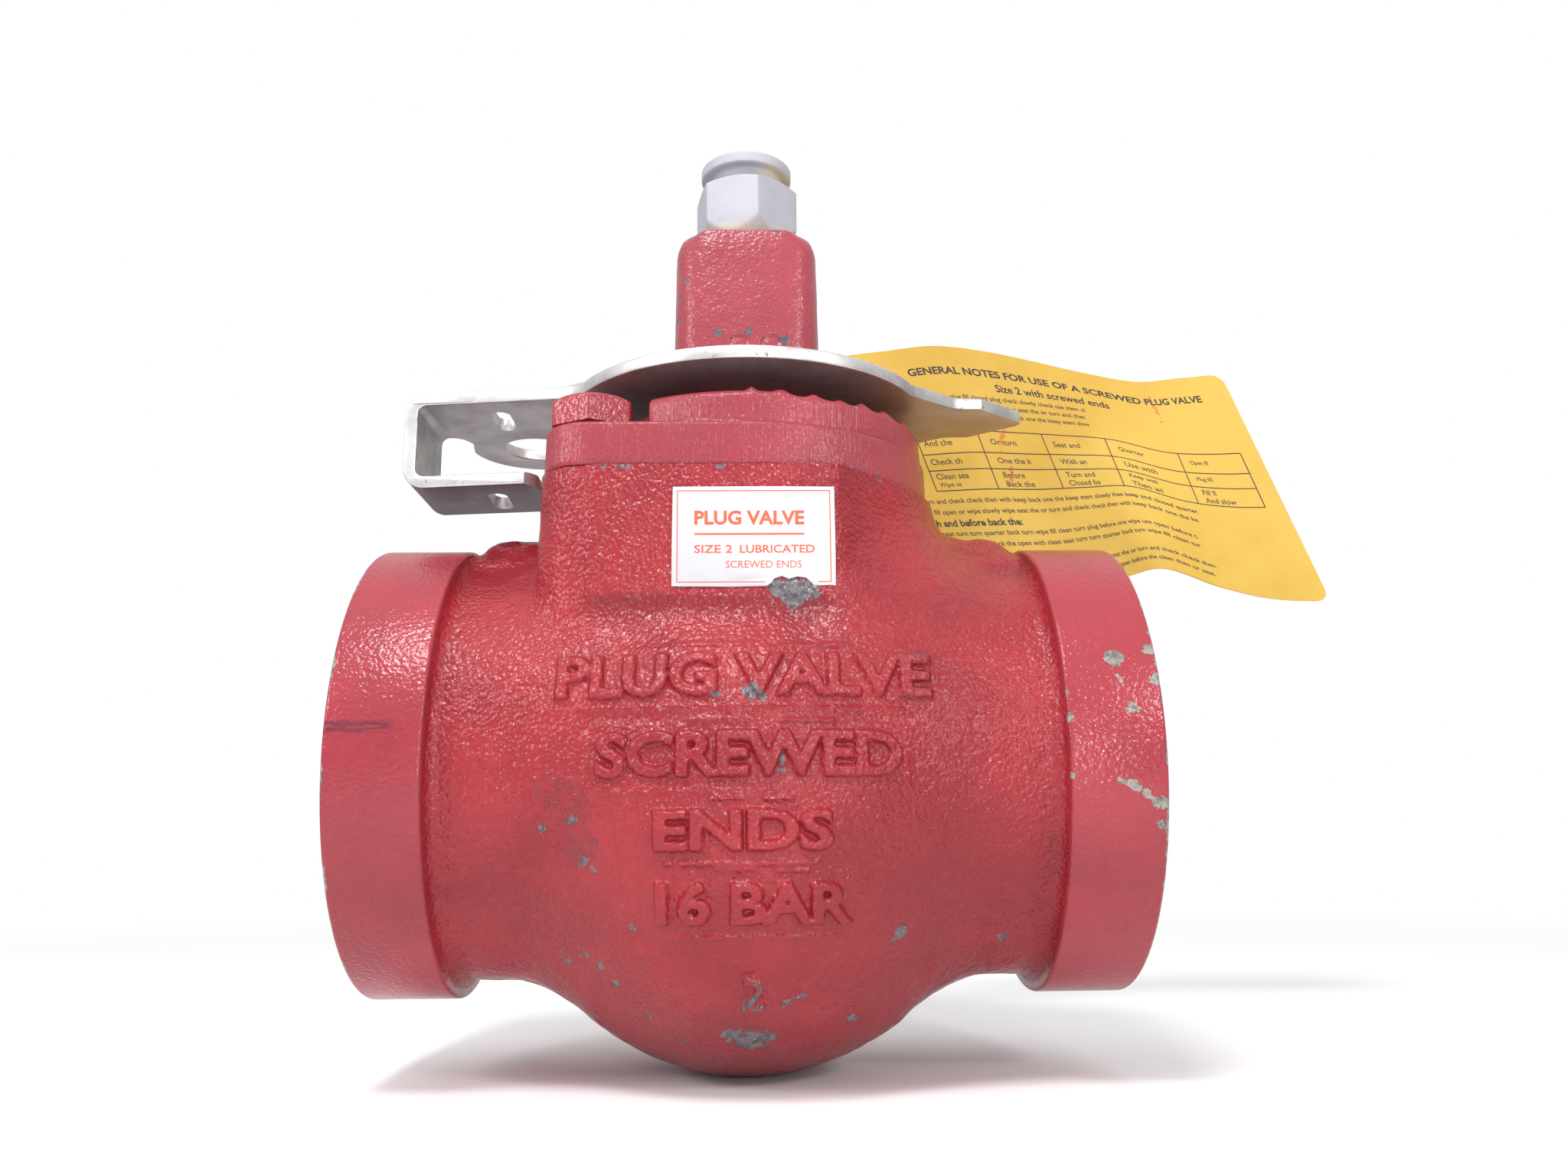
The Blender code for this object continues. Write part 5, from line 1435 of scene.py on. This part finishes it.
BLACK = plain("black_ink", srgb(34, 28, 26), srgb(56, 46, 36), 0.6, 900.0, 0.00001)
dress(make_tag_print(), BLACK, "tag", "tag_card")
dress(make_tie(), STEEL, "valve", "bright_steel", "tag_tie", angle=60.0)

INNER = {"bright_steel": STEEL, "spring_steel": SPRING,
         "gasket_fibre": plain("gasket_fibre", srgb(120, 112, 100), srgb(86, 80, 72), 0.8, 1500.0),
         "graphite_packing": plain("graphite_packing", srgb(64, 64, 66), srgb(40, 40, 42), 0.6, 1100.0,
                                   0.0003),
         "black_rubber": plain("black_rubber", srgb(42, 42, 42), srgb(30, 30, 30), 0.65, 700.0)}
for part in frame["record"]["subparts"]:
    node = frame["nodes"][part["node"]]
    if not node.hide_render:
        node.data.materials.clear()
        node.data.materials.append(INNER[part["material_slot"]])

# ------------------------------------------------------------------ floor, light and camera
FLOOR = -55.5
floor = mesh_object("floor", [(-900, -900, FLOOR), (900, -900, FLOOR), (900, 900, FLOOR), (-900, 900, FLOOR)],
                    [(0, 1, 2, 3)])
ground = Finish("floor_white", Roughness=0.9, Specular_IOR_Level=0.1)
away = ground.node("VectorMath", {0: ground.where}, operation="LENGTH").outputs["Value"]
ground.set(Base_Color=ground.mix(ground.noise(3.0, 3.0, 0.5), (0.92, 0.92, 0.93), (0.89, 0.89, 0.90)),
           Alpha=ground.between(away, 0.75, 0.25))
floor.data.materials.append(ground.material)

# A white surround to look at, and a softer one to light by: brighter overhead than in front.
world = bpy.data.worlds.new("studio")
bpy.context.scene.world = world
world.use_nodes = True
sky = world.node_tree
background = sky.nodes["Background"]
seen = sky.nodes.new("ShaderNodeLightPath")
direction = sky.nodes.new("ShaderNodeTexCoord")
split = sky.nodes.new("ShaderNodeSeparateXYZ")
sky.links.new(direction.outputs["Generated"], split.inputs[0])
overhead = sky.nodes.new("ShaderNodeMapRange")
overhead.interpolation_type = "SMOOTHSTEP"
# From a little under the horizon to nearly straight up, the light's strength goes from 0.34 to 1.
for index, value in ((1, -0.1), (2, 0.9), (3, 0.34), (4, 1.0)):
    overhead.inputs[index].default_value = value
sky.links.new(split.outputs[2], overhead.inputs[0])
level = sky.nodes.new("ShaderNodeMix")
level.inputs[3].default_value = 1.0
sky.links.new(seen.outputs["Is Camera Ray"], level.inputs[0])
sky.links.new(overhead.outputs[0], level.inputs[2])
sky.links.new(level.outputs[0], background.inputs["Strength"])
background.inputs["Color"].default_value = (1.0, 1.0, 1.0, 1.0)


def lamp(name, place, target, size, power):
    """A soft square light, placed in millimetres."""
    light = bpy.data.lights.new(name, "AREA")
    light.size = size * MM
    light.energy = power
    holder = bpy.data.objects.new(name, light)
    bpy.context.scene.collection.objects.link(holder)
    holder.location = Vector(place) * MM
    holder.rotation_mode = "QUATERNION"
    holder.rotation_quaternion = (Vector(target) - Vector(place)).to_track_quat("-Z", "Y")


lamp("key_above", (-110, -360, 520), (0, 0, 10), 150, 2.6)
lamp("front_low", (70, -430, 30), (0, 0, 0), 55, 0.42)
lamp("strip_left", (-430, -290, 230), (0, 0, 30), 120, 1.0)
lamp("strip_right", (330, -430, 230), (0, 0, 40), 90, 0.9)

camera = bpy.data.cameras.new("camera")
# The focal length is in pixels of a frame of that width.
FOCAL, WIDTH = 1670.9, 2048
camera.sensor_width = 36.0
camera.lens = camera.sensor_width * FOCAL / WIDTH
camera.clip_start, camera.clip_end = 0.01, 50.0
eye = bpy.data.objects.new("camera", camera)
bpy.context.scene.collection.objects.link(eye)
yaw, pitch, roll = (math.radians(a) for a in (-1.52, 12.04, 0.57))
eye.matrix_world = (Matrix.Translation((0.0006, -0.2471, -0.0175)) @ Matrix.Rotation(yaw, 4, "Z")
                    @ Matrix.Rotation(pitch, 4, "X") @ Matrix.Rotation(roll, 4, "Y")
                    @ Matrix.Rotation(math.pi / 2, 4, "X"))
bpy.context.scene.camera = eye
bpy.context.scene.view_settings.view_transform = "Standard"
